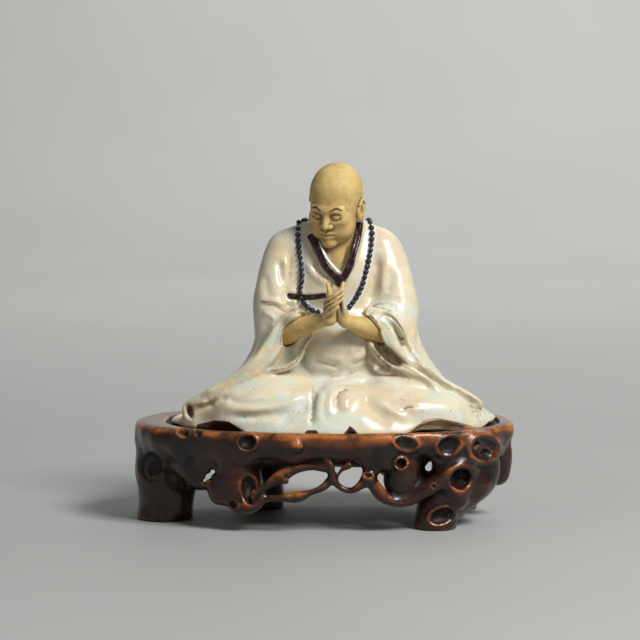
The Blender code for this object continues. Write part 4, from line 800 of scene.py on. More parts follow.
# Painted lines: points, widths and strength
DARK_LINES = (
    ([(-21, 140)] + LAPEL_LEFT, (3.3, 3.4), 1.0),
    ([(16.8, 156), (15.8, 150)] + LAPEL_RIGHT, (3.1, 3.4), 1.0),
    ([(-38.5, 94.0), (-22, 92.6), (-8, 94.2)], (2.4, 2.1), 1.0),
)
SHADED_LINES = (
    ([(27, 59), (33, 54), (40, 47.5), (48, 42.6)], (5.0, 5.5, 3.0), 1.0),
    ([(-31, 64), (-34.5, 54), (-41, 46), (-53, 40)], (7.0, 6.5, 3.0), 0.42),
)
DIRTY_AND_SHADED_LINES = (
    ([(-57, 89.7), (-52, 89.2), (-48.5, 89.6)], (0.8, 0.7), 1.0),
    ([(-28, 80.6), (-24, 80.9), (-21, 80)], (0.7, 0.7), 1.0),
    ([(-37, 77), (-40, 72), (-41.3, 65), (-42.7, 57)], (0.7, 0.7), 0.8),
    (SLEEVE_LEFT_FAR, (0.8, 0.8), 0.8),
    ([(22.5, 79.4), (27.4, 76), (30, 70.5), (33, 62)], (0.8, 0.8), 1.0),
    ([(25, 86.6), (33, 84.6), (39, 82.4)], (0.7, 0.7), 0.8),
    ([(36, 57.5), (41.3, 49.6), (50, 43.6), (61, 38.4), (71, 30.6)], (0.8, 0.7), 0.9),
    ([(52, 56), (58, 47), (66, 40), (80, 29), (94, 21.4), (104, 15.4)], (0.7, 0.7), 0.6),
    ([(44, 64.6), (47, 61.6), (49, 64)], (0.7, 0.7), 0.8),
    # the next two wide strokes are painted shade, the dark hollow under the right sleeve
    ([(27, 54), (31, 49), (36, 43.5), (39.4, 40.6)], (2.0, 2.2, 1.4), 1.0),
    ([(34, 55), (40, 50), (46, 45)], (1.8, 2.8, 1.6), 1.0),
    ([(-109.4, 12.5), (-108.8, 9), (-108, 5.5)], (2.2, 2.4), 1.0),
    ([(-114, 3), (-110, 1.5), (-107, 0)], (1.8, 1.8), 0.45),
    ([(-18.0, 27), (-18.9, 12), (-19.8, 0)], (0.8, 0.8), 0.9),
    ([(7.0, 24.6), (1.6, 22.6), (-1.2, 16.8)], (0.7, 0.7), 0.8),
    ([(46.8, 7.6), (51, 11.2), (56, 11.4)], (0.7, 0.7), 0.9),
)
# the inner lapel's edge: pale glaze, and a painted highlight on it
WHITE_EDGE_AND_HIGHLIGHT_LINES = ((LAPEL_LEFT_INNER, (0.6, 0.7), 1.0),)
OPAL_LINES = (
    ([(-5, 40), (-10, 32), (-17, 20), (-30, 8), (-50, -2)], (7, 9, 11), 1.0),
    ([(-14, 34), (5, 32), (30, 31), (48, 28)], (4, 4, 3), 0.8),
    ([(-22, 40), (-5, 38), (12, 41)], (4, 4), 0.9),
    ([(55, 12), (75, 6), (95, 0)], (5, 5), 0.6),
    ([(4, 93), (6, 86), (8, 80)], (4, 4), 1.0),
)

# Painted areas: corners, softness and strength
SHADED_AREAS = (
    ([(-38, 84), (-24, 78), (-12, 79), (-9, 92.5), (-38, 93.4)], 2.0, 0.65),
    ([(-29, 96), (-8, 95), (0, 103), (-14, 124), (-27, 128)], 8.0, 0.22),
    ([(-16, 60), (12, 60), (9, 72), (-12, 72)], 8.0, 0.30),
)
BARE_AREAS = (
    ([(-13.5, 136), (-12.3, 130.2), (-8.1, 121.8), (2.4, 110.0), (7.9, 121.8), (11.5, 140)], 0.8, 1.0),
)
CRACKLED_AREAS = (([(94, -2), (110, 0), (117, 5), (104, 18), (92, 12)], 5.0, 1.0),)
EDGE_AREAS = (
    (
        [(54, -9), (106, -9), (106, -5.6), (96, -2.6), (84, 0.6), (74, 2.6), (66, 2.0), (59, -2.6)],
        1.8, 1.0,
    ),
)
# the broken edges and notches of the hem, painted near black as the shade in the gaps under them
CHIPPED_AND_SHADED_AREAS = (
    (
        [(-105, -8), (-69, -8), (-70.8, -5.8), (-75.2, -2.9), (-79.5, 0.4), (-91, 1.6), (-104, -1.7)],
        1.8, 1.0,
    ),
    ([(4, -9), (14.5, -9), (10.5, -3.0), (8.8, -3.0)], 1.8, 1.0),
    ([(103, -8), (116, -8), (116, -1.0), (111.5, 0.8), (107.5, -2.6)], 1.8, 1.0),
    ([(-25, -9), (-14, -9), (-16, -5.8), (-23, -5.8)], 1.8, 1.0),
)


def painted_lines(relief, table):
    """How strongly each vertex is painted by some lines, where it faces the eye."""
    found = np.zeros(len(relief.place))
    for points, widths, strength in table:
        index, amount, *_ = relief.shape_line(wide(points, *widths), 0.06, 3.0)
        found[index] = np.maximum(found[index], strength * amount)
    return found * np.clip(relief.facing * 2, 0, 1)


def painted_areas(relief, table):
    found = np.zeros(len(relief.place))
    for corners, soft, strength in table:
        index, amount = relief.inside(corners, soft)
        found[index] = np.maximum(found[index], strength * amount)
    return found


def robe_paint(mesh):
    """Where the glaze is dark, bare or crackled, where shade and some soiling are painted brown, and where it
    thins or pools.
    """
    relief = Relief(mesh, FIGURE_FRONT_EYE)
    # painted shade, with some soiling: below the chest band, on the chest, under the hands and inside the
    # sleeves
    areas = painted_areas(relief, SHADED_AREAS) * np.clip(relief.facing * 2, 0, 1)
    give(mesh, "brown", np.maximum(painted_lines(relief, SHADED_LINES), areas))
    give(mesh, "line", painted_lines(relief, DIRTY_AND_SHADED_LINES))
    # the white line along the inner lapel is pale glaze and a painted highlight on its edge
    white = painted_lines(relief, WHITE_EDGE_AND_HIGHLIGHT_LINES)
    give(mesh, "white", white)
    give(mesh, "dark", painted_lines(relief, DARK_LINES) * (1 - white))
    give(mesh, "bare", painted_areas(relief, BARE_AREAS) * (1 - white))
    give(mesh, "crackle", painted_areas(relief, CRACKLED_AREAS))
    # the clay below the lifted hem, and where the edge is broken, painted near black as the shade in the gap
    # under it
    give(mesh, "edge", painted_areas(relief, EDGE_AREAS))
    give(mesh, "chip_and_shade", painted_areas(relief, CHIPPED_AND_SHADED_AREAS))
    # blue-white glaze drawn together down the middle of the lap
    give(mesh, "opal", painted_lines(relief, OPAL_LINES))
    give(mesh, "ridge", bent(mesh, 5, 0.16))
    give(mesh, "slope", bent(mesh, 40, 1.1))


def robe_mesh():
    voxel = 1.0
    mesh = robe_clay(voxel).mesh("rough")
    for eye, folds in ((FIGURE_FRONT_EYE, main_folds), (FIGURE_BACK_EYE, back_folds)):
        relief = Relief(mesh, eye)
        folds(relief)
        relief.press()
    soften(mesh, 2)
    mesh = remeshed(mesh, 0.8, "fine")
    relief = Relief(mesh, FIGURE_FRONT_EYE)
    fine_folds(relief)
    relief.press()
    uneven(mesh, ((26, 0.5), (9, 0.22), (4, 0.07)))
    soften(mesh, 1, 0.7)
    mesh = lightened(mesh, "glazed_robe")
    robe_paint(mesh)
    return mesh


def neck(clay):
    clay.add(limb([(0, -12, 116, 12), (0, -10, 137, 13), (-1, -13, 151, 12.5)]), 3)


def head_pose():
    return Pose((-2.2, -20, 162), turned(z=-20) @ turned(y=4) @ turned(x=20))


def skin_voxel():
    return 0.5


def mirrored(pose, points, side):
    """A bar of the face drawn on one side, for either side."""
    return pose.limb([(side * x, y, z, r) for x, y, z, r in points])


EYELID = [(3.6, -19.6, -2.9, 0.45), (7, -20.4, -3.6, 0.45), (10.4, -18.6, -2.7, 0.45)]
EYE_FOLD = [(3.2, -19.4, 0.2, 0.35), (7, -19.9, 1.0, 0.4), (10.8, -17.9, 0.0, 0.35)]
EAR_RIM = [(19.3, -1.2, 1.5, 0.7), (20.2, 2.5, 4.2, 0.8), (20.6, 6.2, 1.0, 0.8), (19.9, 5.0, -6.0, 0.8)]


def head_mesh():
    """A bald head with calm, lowered eyes, bowed and turned a little to the left, and its neck."""
    clay = Clay((-30, -52, 101), (30, 18, 197), skin_voxel())
    pose = head_pose()
    neck(clay)
    clay.add(pose.bulb((0, 4, 8), (19, 23, 21.5)), 2)
    clay.add(pose.bulb((0, -4, -8), (15.5, 17, 20)), 6)
    for side in (-1, 1):
        clay.add(pose.bulb((side * 9, -14.5, -5), (6, 5.5, 6)), 4)
        clay.add(pose.bulb((side * 8, -11, -15), (7, 7, 7)), 5)
    clay.add(pose.limb([(-10, -16.5, 2.5, 2.2), (0, -18.8, 2.5, 2.6), (10, -16.5, 2.5, 2.2)]), 4)
    for side in (-1, 1):
        clay.cut(pose.bulb((side * 7, -21.5, -2), (4.6, 3.4, 2.8)), 2.5)
        clay.add(pose.bulb((side * 7, -16.6, -2.2), (3.9, 3.2, 2.7)), 0.8)
        clay.cut(mirrored(pose, EYELID, side), 0.4)
        clay.cut(mirrored(pose, EYE_FOLD, side), 0.5)
    clay.add(pose.limb([(0, -18.5, 1, 2.0), (0, -22.6, -8, 2.9)]), 2)
    for side in (-1, 1):
        clay.add(pose.bulb((side * 3, -20.6, -8.8), (2.2, 2.6, 2.0)), 1.2)
        clay.cut(pose.bulb((side * 1.7, -22.6, -10.6), (0.8, 0.9, 0.7)), 0.4)
    clay.add(pose.limb([(-5, -18.8, -14.6, 1.2), (0, -20.8, -14.0, 1.6), (5, -18.8, -14.6, 1.2)]), 1.6)
    clay.add(pose.limb([(-4, -18.6, -17.0, 1.2), (0, -20.0, -17.2, 1.8), (4, -18.6, -17.0, 1.2)]), 1.6)
    clay.cut(pose.limb([(-5.6, -19.8, -15.6, 0.45), (0, -22.0, -15.7, 0.5), (5.6, -19.8, -15.6, 0.45)]), 0.4)
    clay.cut(pose.limb([(0, -21.6, -11.6, 0.5), (0, -21.6, -13.4, 0.6)]), 0.8)
    clay.add(pose.bulb((0, -17, -23), (5.5, 4.5, 4)), 4)
    for side in (-1, 1):
        clay.add(pose.bulb((side * 18.3, 2.5, -4), (2.2, 4.8, 8.5), turned(z=side * -14)), 1.5)
        clay.cut(pose.bulb((side * 20.4, 1.2, -2.5), (1.5, 2.6, 4.6)), 1.0)
        clay.add(mirrored(pose, EAR_RIM, side), 0.8)
    mesh = clay.mesh("bare_head")
    uneven(mesh, ((11, 0.18), (3.5, 0.06)))
    soften(mesh, 1, 0.6)
    head_paint(mesh, pose)
    return mesh


def head_paint(mesh, pose):
    """Two painted eyebrows, and where dust and shade gather."""
    local = (places_of(mesh) - pose.centre) @ pose.axes
    brow = np.zeros(len(local))
    for side in (-1, 1):
        path = route([(side * 3.6, 3.2, 0.5), (side * 7.5, 4.9, 0.75), (side * 12.0, 3.4, 0.4)], 8)
        for u, w, width in path:
            off = np.hypot(local[:, 0] - u, local[:, 2] - w)
            brow = np.maximum(brow, np.clip(1.5 - off / width, 0, 1))
    give(mesh, "dark", brow * (local[:, 1] < -8))
    give(mesh, "grime_and_shade", np.zeros(len(local)))
    give(mesh, "white", np.zeros(len(local)))
    give(mesh, "ridge", bent(mesh, 6, 0.14))
    give(mesh, "slope", bent(mesh, 40, 0.8))


def hands_mesh():
    """Bare forearms and two hands pressed together, with folded fingers and two raised ones."""
    clay = Clay((-58, -74, 54), (52, -8, 116), skin_voxel())
    clay.add(limb(FOREARM_LEFT), 2)
    clay.add(limb(FOREARM_RIGHT), 2)
    clay.add(limb([(-6.5, -57, 82, 5.0), (-5.6, -58.5, 89, 5.4), (-4.6, -60, 96, 4.4)]), 2)
    clay.add(limb([(4.4, -57, 80.4, 4.6), (1.8, -58, 88, 4.3), (1.0, -59, 96, 3.6)]), 2)
    clay.cut(limb([
        (-2.4, -63, 75, 0.8), (-0.6, -63.4, 80, 1.0), (0.9, -63.4, 86, 1.0), (1.6, -63.4, 92, 0.8),
    ]), 0.6)
    for k in range(4):
        drop = 3.3 * k
        fingers = [
            (-9.4, -61, 94 - drop, 1.8), (-5.4, -65, 97.4 - drop, 1.9), (-1.2, -66.2, 100.8 - drop, 1.7),
            (2.4, -64.6, 103.4 - drop, 1.4),
        ]
        clay.add(limb(fingers if k < 3 else fingers[:3]), 0.5)
    clay.add(limb([(-5.6, -60, 97, 2.2), (-6.7, -60, 102, 1.9), (-7.8, -59.5, 106.8, 1.3)]), 1.0)
    clay.add(limb([(2.0, -60.5, 99, 2.0), (2.4, -60.6, 103.5, 1.7), (3.2, -60, 107.5, 1.2)]), 1.0)
    clay.add(limb([(4.4, -60.5, 84, 2.0), (4.0, -62.4, 90, 1.9), (3.2, -63.6, 96, 1.5)]), 0.8)
    clay.add(limb([(-9.8, -60, 84, 2.4), (-7.2, -63, 88.6, 2.1), (-4.2, -65, 92, 1.7)]), 0.8)
    mesh = clay.mesh("bare_hands")
    uneven(mesh, ((9, 0.16), (3, 0.07)))
    soften(mesh, 1, 0.5)
    place = places_of(mesh)
    give(mesh, "dark", np.zeros(len(place)))
    # how dark the hollows are painted, with dirt and shade, rising to the fingers
    give(mesh, "grime_and_shade", np.clip((place[:, 2] - 78) / 10, 0.25, 1))
    # glaze that ran on to the palm at the right
    run = np.full(len(place), 99.0)
    for point in route([(3.0, -62, 85.5), (4.2, -64, 90), (3.4, -65, 95)], 8):
        run = np.minimum(run, np.linalg.norm(place - point, axis=1))
    give(mesh, "white", 0.7 * np.clip(1.5 - run / 0.9, 0, 1))
    give(mesh, "ridge", bent(mesh, 6, 0.14))
    give(mesh, "slope", bent(mesh, 40, 0.9))
    return mesh


BEAD_RADIUS = 2.1
BEAD_PITCH = 4.05
BEAD_LIFT = 0.8
# The least distance between the middles of two beads, in radii
NEAREST_BEADS = 1.8
# Pale glaze is caught round a bead out to this far from its middle, and fades over the last of it
HALO_REACH = 4.1
HALO_FADE = 1.3

BEADS_LEFT = [
    (-27.5, 151), (-29.5, 139.6), (-28.5, 126.0), (-26.9, 115.5), (-26.6, 104.9), (-28.0, 95.5),
    (-25.4, 89.2), (-19.6, 83.6), (-14.5, 81.5),
]
BEADS_RIGHT = [
    (21.5, 151), (24.4, 141.7), (24.2, 130.2), (21.8, 118.6), (19.7, 109.2), (17.1, 100.7), (12.9, 92.3),
    (8.5, 85.8),
]
BEADS_BEHIND = [
    (-25, 3, 148), (-21, 14, 144), (-11, 25, 139), (0, 29, 137), (11, 25, 139), (19, 14, 144), (22, 3, 147),
]


def along_at_pitch(points, pitch):
    path = route(points, steps=12)
    along = np.concatenate([[0], np.cumsum(np.linalg.norm(np.diff(path, axis=0), axis=1))])
    at = np.linspace(0, along[-1], int(along[-1] / pitch) + 1)
    return np.stack([np.interp(at, along, path[:, i]) for i in range(path.shape[1])], axis=1)


def bead_places(mesh):
    """Where each bead lies: on the cloth that the eye meets behind it, or round the neck on the nearest."""
    tree = BVHTree.FromPolygons([v.co for v in mesh.vertices], [p.vertices for p in mesh.polygons])
    eye = np.array(FIGURE_FRONT_EYE)
    found = []
    for across, up in [*along_at_pitch(BEADS_LEFT, BEAD_PITCH), *along_at_pitch(BEADS_RIGHT, BEAD_PITCH)]:
        found.append(tree.ray_cast(eye, np.array((across, 0.0, up)) - eye))
    for place in along_at_pitch(BEADS_BEHIND, BEAD_PITCH):
        found.append(tree.find_nearest(place))
    lifted = [np.array(hit[0]) + np.array(hit[1]) * BEAD_LIFT for hit in found if hit[0] is not None]
    kept = []
    for place in lifted:
        if all(np.linalg.norm(place - other) > NEAREST_BEADS * BEAD_RADIUS for other in kept):
            kept.append(place)
    return kept


def halo_paint(robe, places):
    """Where the robe's glaze is paler, close round the beads."""
    off = np.min([np.linalg.norm(places_of(robe) - place, axis=1) for place in places], axis=0)
    give(robe, "halo", np.clip((HALO_REACH - off) / HALO_FADE, 0, 1))


def beads_mesh(places):
    """Hand-rolled beads, each a little different, sunk into the glaze."""
    beads = bmesh.new()
    tone = []
    for k, place in enumerate(places):
        radius = BEAD_RADIUS * (1 + 0.07 * math.sin(5.1 * k))
        made = bmesh.ops.create_icosphere(beads, subdivisions=3, radius=radius)
        for vertex in made["verts"]:
            dent = 1 + 0.05 * math.sin(2.1 * vertex.co.x + 3 * k) * math.sin(1.9 * vertex.co.z + k)
            vertex.co *= dent
            vertex.co.z *= 1 + 0.08 * math.sin(3.7 * k + 1)
        bmesh.ops.translate(beads, verts=made["verts"], vec=place)
        tone += [0.5 + 0.5 * math.sin(7.3 * k)] * len(made["verts"])
    mesh = bpy.data.meshes.new("prayer_beads")
    beads.to_mesh(mesh)
    beads.free()
    give(mesh, "tone", tone)
    return mesh


# The stand

SLAB_OUTLINES = [
    (45, 108, 108, 58, 58), (49, 122, 121, 70, 70), (54, 131, 131, 78, 78),
    (60, 136, 136, 82, 82), (66, 137.6, 137.6, 83.0, 83.0), (71, 137.6, 137.6, 83.0, 83.0),
    (75, 136.0, 136.0, 82, 82), (82, 132, 132, 79, 79),
]
RECESS_OUTLINES = [(70.0, 122.5, 122.5, 77.5, 77.5), (84.0, 122.5, 122.5, 77.5, 77.5)]
RECESS_CENTRE = (6.0, -2.0)


def top_slab(clay):
    clay.add(shell_of_outlines(SLAB_OUTLINES, OUTLINE_POWER))


KNUCKLES = 26
RIM_HALF = (138, 83)


def knuckles(clay):
    """Short root ends that swell out of the rim all round and make its lower edge wavy."""
    for k in range(KNUCKLES):
        angle = math.tau * (k + 0.35 * math.sin(2.3 * k)) / KNUCKLES
        c, s = math.cos(angle), math.sin(angle)
        x = 0.93 * RIM_HALF[0] * math.copysign(abs(c) ** (2 / OUTLINE_POWER), c)
        y = 0.90 * RIM_HALF[1] * math.copysign(abs(s) ** (2 / OUTLINE_POWER), s)
        drop = 46 + 3.5 * math.sin(1.7 * k + 0.6)
        thick = 8.0 + 1.5 * math.sin(3.1 * k)
        clay.add(limb([(x, y, 64, thick), (x * 0.985, y * 0.985, drop + thick, thick * 0.8)]), 9)


def legs(clay):
    clay.add(limb([(-112, -3, 54, 26), (-116, -4, 28, 22), (-117, -5, 12, 20.5), (-118, -5, -6, 21)]), 10)
    clay.add(bulb((-122, -12, 38), (14, 13, 18)), 8)
    clay.add(bulb((-103, -24, 31), (7, 6, 7)), 5)
    clay.add(limb([(90, -42, 54, 25), (88, -48, 28, 19), (80, -50, 10, 15), (80, -50, -6, 16)]), 10)
    clay.add(limb([(112, -32, 50, 16), (112, -36, 33, 12), (106, -41, 23.5, 9), (92, -47, 14, 8)]), 8)
    clay.add(bulb((109, -46, 30), (9, 8, 9)), 5)
    clay.add(limb([(-50, 42, 54, 20), (-47, 45, 26, 16), (-46, 46, -6, 15.5)]), 8)
    clay.add(limb([(94, 42, 54, 22), (99, 44, 26, 16), (100, 45, -6, 16)]), 8)


def front_roots(clay):
    """The lobe, the twigs and the root ends that hang below the front rim."""
    # lobe left of the middle, with its big hollow and its tie to the left leg
    clay.add(bulb((-63, -58, 34), (18, 15, 19), turned(y=-14)), 7)
    clay.add(bulb((-80, -50, 52), (16, 14, 12)), 6)
    clay.add(limb([(-60, -66, 20, 7), (-50, -70, 20, 5.5), (-46, -72, 25, 4)]), 4)
    clay.add(limb([(-104, -30, 48, 14), (-92, -42, 42, 12)]), 8)
    clay.add(limb([(-104, -26, 37, 9), (-92, -40, 34, 6.5), (-80, -54, 35, 6.5)]), 5)
    clay.add(bulb((-76, -56, 27), (7, 9, 9)), 5)
    clay.cut(bulb((-52.6, -75, 31.5), (7, 10, 10.6), turned(y=-6)), 1.5)
    clay.cut(bulb((-66, -73, 19.5), (3.2, 7, 3.2)), 0.8)
    # twigs
    clay.add(limb([
        (-48, -70, 27, 5), (-45.8, -72, 30, 3.4), (-39.2, -74, 35.6, 3.0), (-30.8, -75, 41.3, 3.6),
        (-22.4, -75, 45.5, 2.6), (-9.3, -75, 47.9, 2.6), (0, -75, 47.6, 4),
    ]), 2)
    clay.add(limb([
        (-48, -70, 24, 5), (-41, -72, 25, 3.2), (-33.6, -74, 25.3, 2.6), (-19.5, -75, 26, 4.2),
        (-12, -75, 29, 2.8), (0, -75, 34.2, 3.4), (4.5, -75, 39, 3.6),
    ]), 2)
    clay.add(limb([
        (0.5, -78, 54.5, 1.4), (4, -77.5, 49, 2.8), (5.7, -76.5, 41, 3.4), (10.5, -76, 34, 3.0),
        (18.8, -75.5, 31.2, 3.0), (26, -75.5, 35.4, 3.4), (31, -75.5, 40.3, 4.4),
    ]), 2)
    clay.add(limb([
        (31, -75.5, 40.3, 4.4), (35.6, -75, 33.8, 3.4), (41.5, -74, 26.6, 3.6), (50.6, -72, 22.5, 4.2),
        (60, -70, 24.4, 4.8), (70, -68, 31, 5.4), (79, -68, 36, 5.2),
    ]), 2)
    clay.add(limb([(8.5, -75, 40, 1.8), (12, -75, 45.5, 1.7), (17, -75, 49, 2.6)]), 1.2)
    clay.add(limb([(-30.8, -76, 41.3, 3.0), (-28, -77.5, 38.5, 1.8)]), 1)
    clay.add(limb([(31, -68, 58, 9), (33, -72, 46, 6)]), 3)
    clay.add(limb([(-3, -68, 58, 9), (1, -72, 50, 5)]), 3)
    # root ends over the right leg
    clay.add(bulb((56, -64, 43), (13, 13, 20), turned(y=10)), 5)
    clay.add(limb([(66, -68, 27.5, 5), (80, -68, 36, 6), (90, -66, 43, 6.5), (100, -58, 50, 8)]), 3)
    clay.add(limb([(84, -66, 37, 5), (92, -66, 31, 5), (96, -60, 22, 7)]), 4)
    clay.cut(bulb((82, -82, 53), (9, 13, 5), turned(y=-14)), 2)
    clay.cut(bulb((99, -70, 38), (9, 15, 8), turned(y=20)), 3)
    # small holes right through, left and right, along the line of sight
    for u, w, radius in (
        (76.5, 36.8, 3.0), (77.8, 40.0, 2.0), (-88.8, 27.0, 2.2), (-85.8, 30.2, 2.8), (-82.6, 33.6, 2.2),
    ):
        clay.cut(limb(seen((u, w, -95, radius), (u, w, 90, radius), eye=STAND_FRONT_EYE)), 1)
    # lobe at the right end
    clay.add(limb([(121, 0, 60, 14), (127.5, 0, 46, 11.2), (127.5, 1, 33, 9.0)]), 3)


def back_roots(clay):
    """The hidden side, in keeping and plainer: one lobe, one long twig and a root end."""
    clay.add(bulb((54, 56, 38), (18, 14, 18), turned(y=14)), 7)
    clay.add(limb([(66, 56, 45, 8), (92, 48, 45, 8)]), 5)
    clay.add(bulb((-96, 48, 46), (18, 14, 14)), 7)
    clay.add(limb([(-92, 52, 38, 6), (-78, 58, 33, 4), (-60, 56, 34, 5)]), 4)
    twig = [
        (50, 66, 30, 5), (30, 72, 32, 3.8), (8, 74, 42, 4), (-12, 74, 36, 3.8), (-36, 70, 38, 4.4),
        (-48, 60, 44, 6),
    ]
    clay.add(limb(twig), 3)
    clay.add(limb([(8, 74, 42, 4), (5, 73, 58, 5)]), 3)
    clay.cut(bulb((58, 70, 38), (7, 9, 9)), 2)


FRONT_KNOTS = (
    # across and up as seen, radii, depth, rim, lean
    ((-104.6, 62.7), (4.6, 3.2), 3.0, 1.0, -20),
    ((-93.5, 62.5), (2.6, 3.6), 2.0, 0.6, 20),
    ((-57.0, 55.6), (6.5, 5.6), 4.5, 1.4, 0),
    ((-20.3, 52.5), (4.6, 5.0), -2.2, 0.0, 0),
    ((60.3, 54.5), (8.4, 4.8), 1.4, 1.0, -12),
    ((56.5, 40.0), (4.0, 4.0), 4.0, 2.4, 0),
    ((92.0, 53.0), (8.8, 6.4), 3.6, 0.7, 24),
    ((117.5, 51.0), (9.6, 9.0), 2.6, 1.6, 10),
    ((86.5, 0.5), (9.0, 5.6), 3.6, 1.3, 22),
    ((-127.5, 37.0), (8.5, 11.0), 3.0, 0.8, 12),
    ((-103.5, 22.0), (4.6, 4.2), -1.8, 0.0, 0),
    ((80.5, 22.6), (1.8, 1.8), 2.0, 0.8, 0),
    ((32.2, 31.0), (3.4, 1.8), 1.8, 0.8, 0),
)


def knots(relief):
    for centre, radii, depth, rim, lean in FRONT_KNOTS:
        relief.pit(centre, radii, depth, rim, lean)
    relief.pit((113.6, 53.8), (3.2, 2.8), 1.8, 0.6)
    relief.pit((120.2, 47.2), (3.8, 2.8), 2.0, 0.6, 20)
    # the eddy on the left leg, wound once and a half round
    relief.line([
        (-125, 41, 1.4), (-130, 42, 1.6), (-132.5, 36, 1.6), (-129, 29.5, 1.6), (-122, 31, 1.8),
        (-118, 39, 2.2), (-120.5, 48, 2.2), (-128, 51, 1.8),
    ], 1.6)


def back_knots(relief):
    for k in range(7):
        across = -96 + 32 * k + 5 * math.sin(1.9 * k)
        relief.pit((across, 62 + 3 * math.sin(2.7 * k)), (5.5, 4.5), 3.0, 1.0)


def gnarl(mesh):
    """The slow wobble of root wood, all over."""
    place, normal = places_of(mesh), normals_of(mesh)
    x, y, z = place.T
    slow = np.sin(x / 11 + 1.3 * np.sin(y / 14)) * np.sin(z / 10 + 0.7 * np.sin(x / 17) + 1.0)
    quick = np.sin(x / 5.2 + z / 9) * np.sin(y / 6.1 + 0.8) * np.sin(z / 7.3)
    under_rim = np.clip((70 - z) / 12, 0, 1) * np.clip(z / 6, 0, 1)
    rise = under_rim * (1.1 * slow + 0.6 * quick)
    move(mesh, place + normal * rise[:, None])


def wear_and_painted_light(mesh, ridge, slope):
    """Rubbing of hands and dusters on the ridges, and most of all on the rounded upper edge of the rim, with
    painted light: tops lighter than undersides, and the rim's band lit lower on the right.
    """
    across, _, height = places_of(mesh).T
    up = normals_of(mesh)[:, 2]
    # the rubbed zone reaches lower on the right, as painted light where the light falls on the rim's band
    low = np.interp(across, (-120, -60, 0), (66, 63, 46))
    reach = np.interp(across, (-120, -60, 0), (6, 9, 22))
    rim = np.clip((height - low) / reach, 0, 1) * np.clip((up + 0.25) / 0.4, 0, 1)
    rim *= 1 - 0.6 * np.clip((up - 0.85) / 0.12, 0, 1)
    worn_and_lit = np.clip((ridge - 0.44) / 0.45, 0, 1) + 0.1 * np.clip((slope - 0.35) / 0.6, 0, 1)
    # tops lighter than undersides: painted light from above
    return np.clip(worn_and_lit * np.clip(up + 0.45, 0.06, 1) + rim, 0, 1)


def stand_mesh():
    voxel = 1.0
    clay = Clay((-144, -90, -4), (144, 90, 80), voxel)
    top_slab(clay)
    knuckles(clay)
    legs(clay)
    front_roots(clay)
    back_roots(clay)
    clay.keep_above(0.0, 1.5)
    clay.keep_below(73.0, 4.0)
    clay.cut(shell_of_outlines(RECESS_OUTLINES, OUTLINE_POWER, RECESS_CENTRE), 1.2)
    mesh = clay.mesh("rough_stand")
    gnarl(mesh)
    for eye, marks in ((STAND_FRONT_EYE, knots), (STAND_BACK_EYE, back_knots)):
        relief = Relief(mesh, eye)
        marks(relief)
        relief.press()
    soften(mesh, 1, 0.8)
    place = places_of(mesh)
    place[:, 2] = np.maximum(place[:, 2], 0.0)
    mesh.vertices.foreach_set("co", place.ravel())
    mesh = lightened(mesh, "carved_root_stand")
    ridge, slope = bent(mesh, 6, 0.22), bent(mesh, 45, 1.8)
    give(mesh, "ridge", ridge)
    give(mesh, "slope", slope)
    give(mesh, "worn_and_lit", wear_and_painted_light(mesh, ridge, slope))
    return mesh


# Looks

class Look:
    """A material put together node by node."""

    def __init__(self, name):
        self.material = bpy.data.materials.new(name)
        self.material.use_nodes = True
        self.tree = self.material.node_tree
        self.shader = self.tree.nodes["Principled BSDF"]
        coordinates = self.tree.nodes.new("ShaderNodeTexCoord")
        self.where = coordinates.outputs["Object"]
        self.colour = None

    def set(self, **values):
        for name, value in values.items():
            self.put(self.shader, name.replace("_", " "), value)

    def put(self, node, socket, value):
        socket = node.inputs[socket]
        if isinstance(value, bpy.types.NodeSocket):
            self.tree.links.new(value, socket)
        elif isinstance(value, tuple) and len(value) == 3 and socket.type == "RGBA":
            socket.default_value = (*value, 1.0)
        else:
            socket.default_value = value

    def attribute(self, name):
        node = self.tree.nodes.new("ShaderNodeAttribute")
        node.attribute_name = name
        return node.outputs["Fac"]

    def stretched(self, scale):
        node = self.tree.nodes.new("ShaderNodeMapping")
        self.put(node, "Vector", self.where)
        self.put(node, "Scale", scale)
        return node.outputs["Vector"]

    def noise(self, scale, detail=3.0, roughness=0.5, distortion=0.0, where=None):
        node = self.tree.nodes.new("ShaderNodeTexNoise")
        self.put(node, "Vector", where or self.where)
        self.put(node, "Scale", scale)
        self.put(node, "Detail", detail)
        self.put(node, "Roughness", roughness)
        self.put(node, "Distortion", distortion)
        return node.outputs["Fac"]

    def cells(self, scale, feature="F1"):
        node = self.tree.nodes.new("ShaderNodeTexVoronoi")
        node.feature = feature
        self.put(node, "Vector", self.where)
        self.put(node, "Scale", scale)
        return node.outputs["Distance"]

    def math(self, operation, a, b=0.0, clamp=False):
        node = self.tree.nodes.new("ShaderNodeMath")
        node.operation = operation
        node.use_clamp = clamp
        self.put(node, 0, a)
        self.put(node, 1, b)
        return node.outputs[0]

    def times(self, a, b):
        return self.math("MULTIPLY", a, b)

    def plus(self, a, b, clamp=False):
        return self.math("ADD", a, b, clamp)

    def less(self, a, b):
        return self.math("SUBTRACT", a, b)

    def most(self, a, b):
        return self.math("MAXIMUM", a, b)

    def span(self, value, low, high, to_low=0.0, to_high=1.0):
        """Maps one range of a value to another, and holds the ends."""
        node = self.tree.nodes.new("ShaderNodeMapRange")
        node.interpolation_type = "SMOOTHSTEP"
        sockets = ("Value", "From Min", "From Max", "To Min", "To Max")
        for name, given in zip(sockets, (value, low, high, to_low, to_high)):
            self.put(node, name, given)
        return node.outputs["Result"]

    def mix(self, amount, a, b):
        node = self.tree.nodes.new("ShaderNodeMix")
        node.data_type = "RGBA"
        self.put(node, 0, amount)
        self.put(node, 6, a)
        self.put(node, 7, b)
        return node.outputs[2]

    def tint(self, amount, colour):
        """Lays one more colour over what is there so far."""
        self.colour = self.mix(amount, self.colour, colour)

    def bump(self, height, distance, strength):
        node = self.tree.nodes.new("ShaderNodeBump")
        self.put(node, "Height", height)
        self.put(node, "Distance", distance)
        self.put(node, "Strength", strength)
        return node.outputs["Normal"]


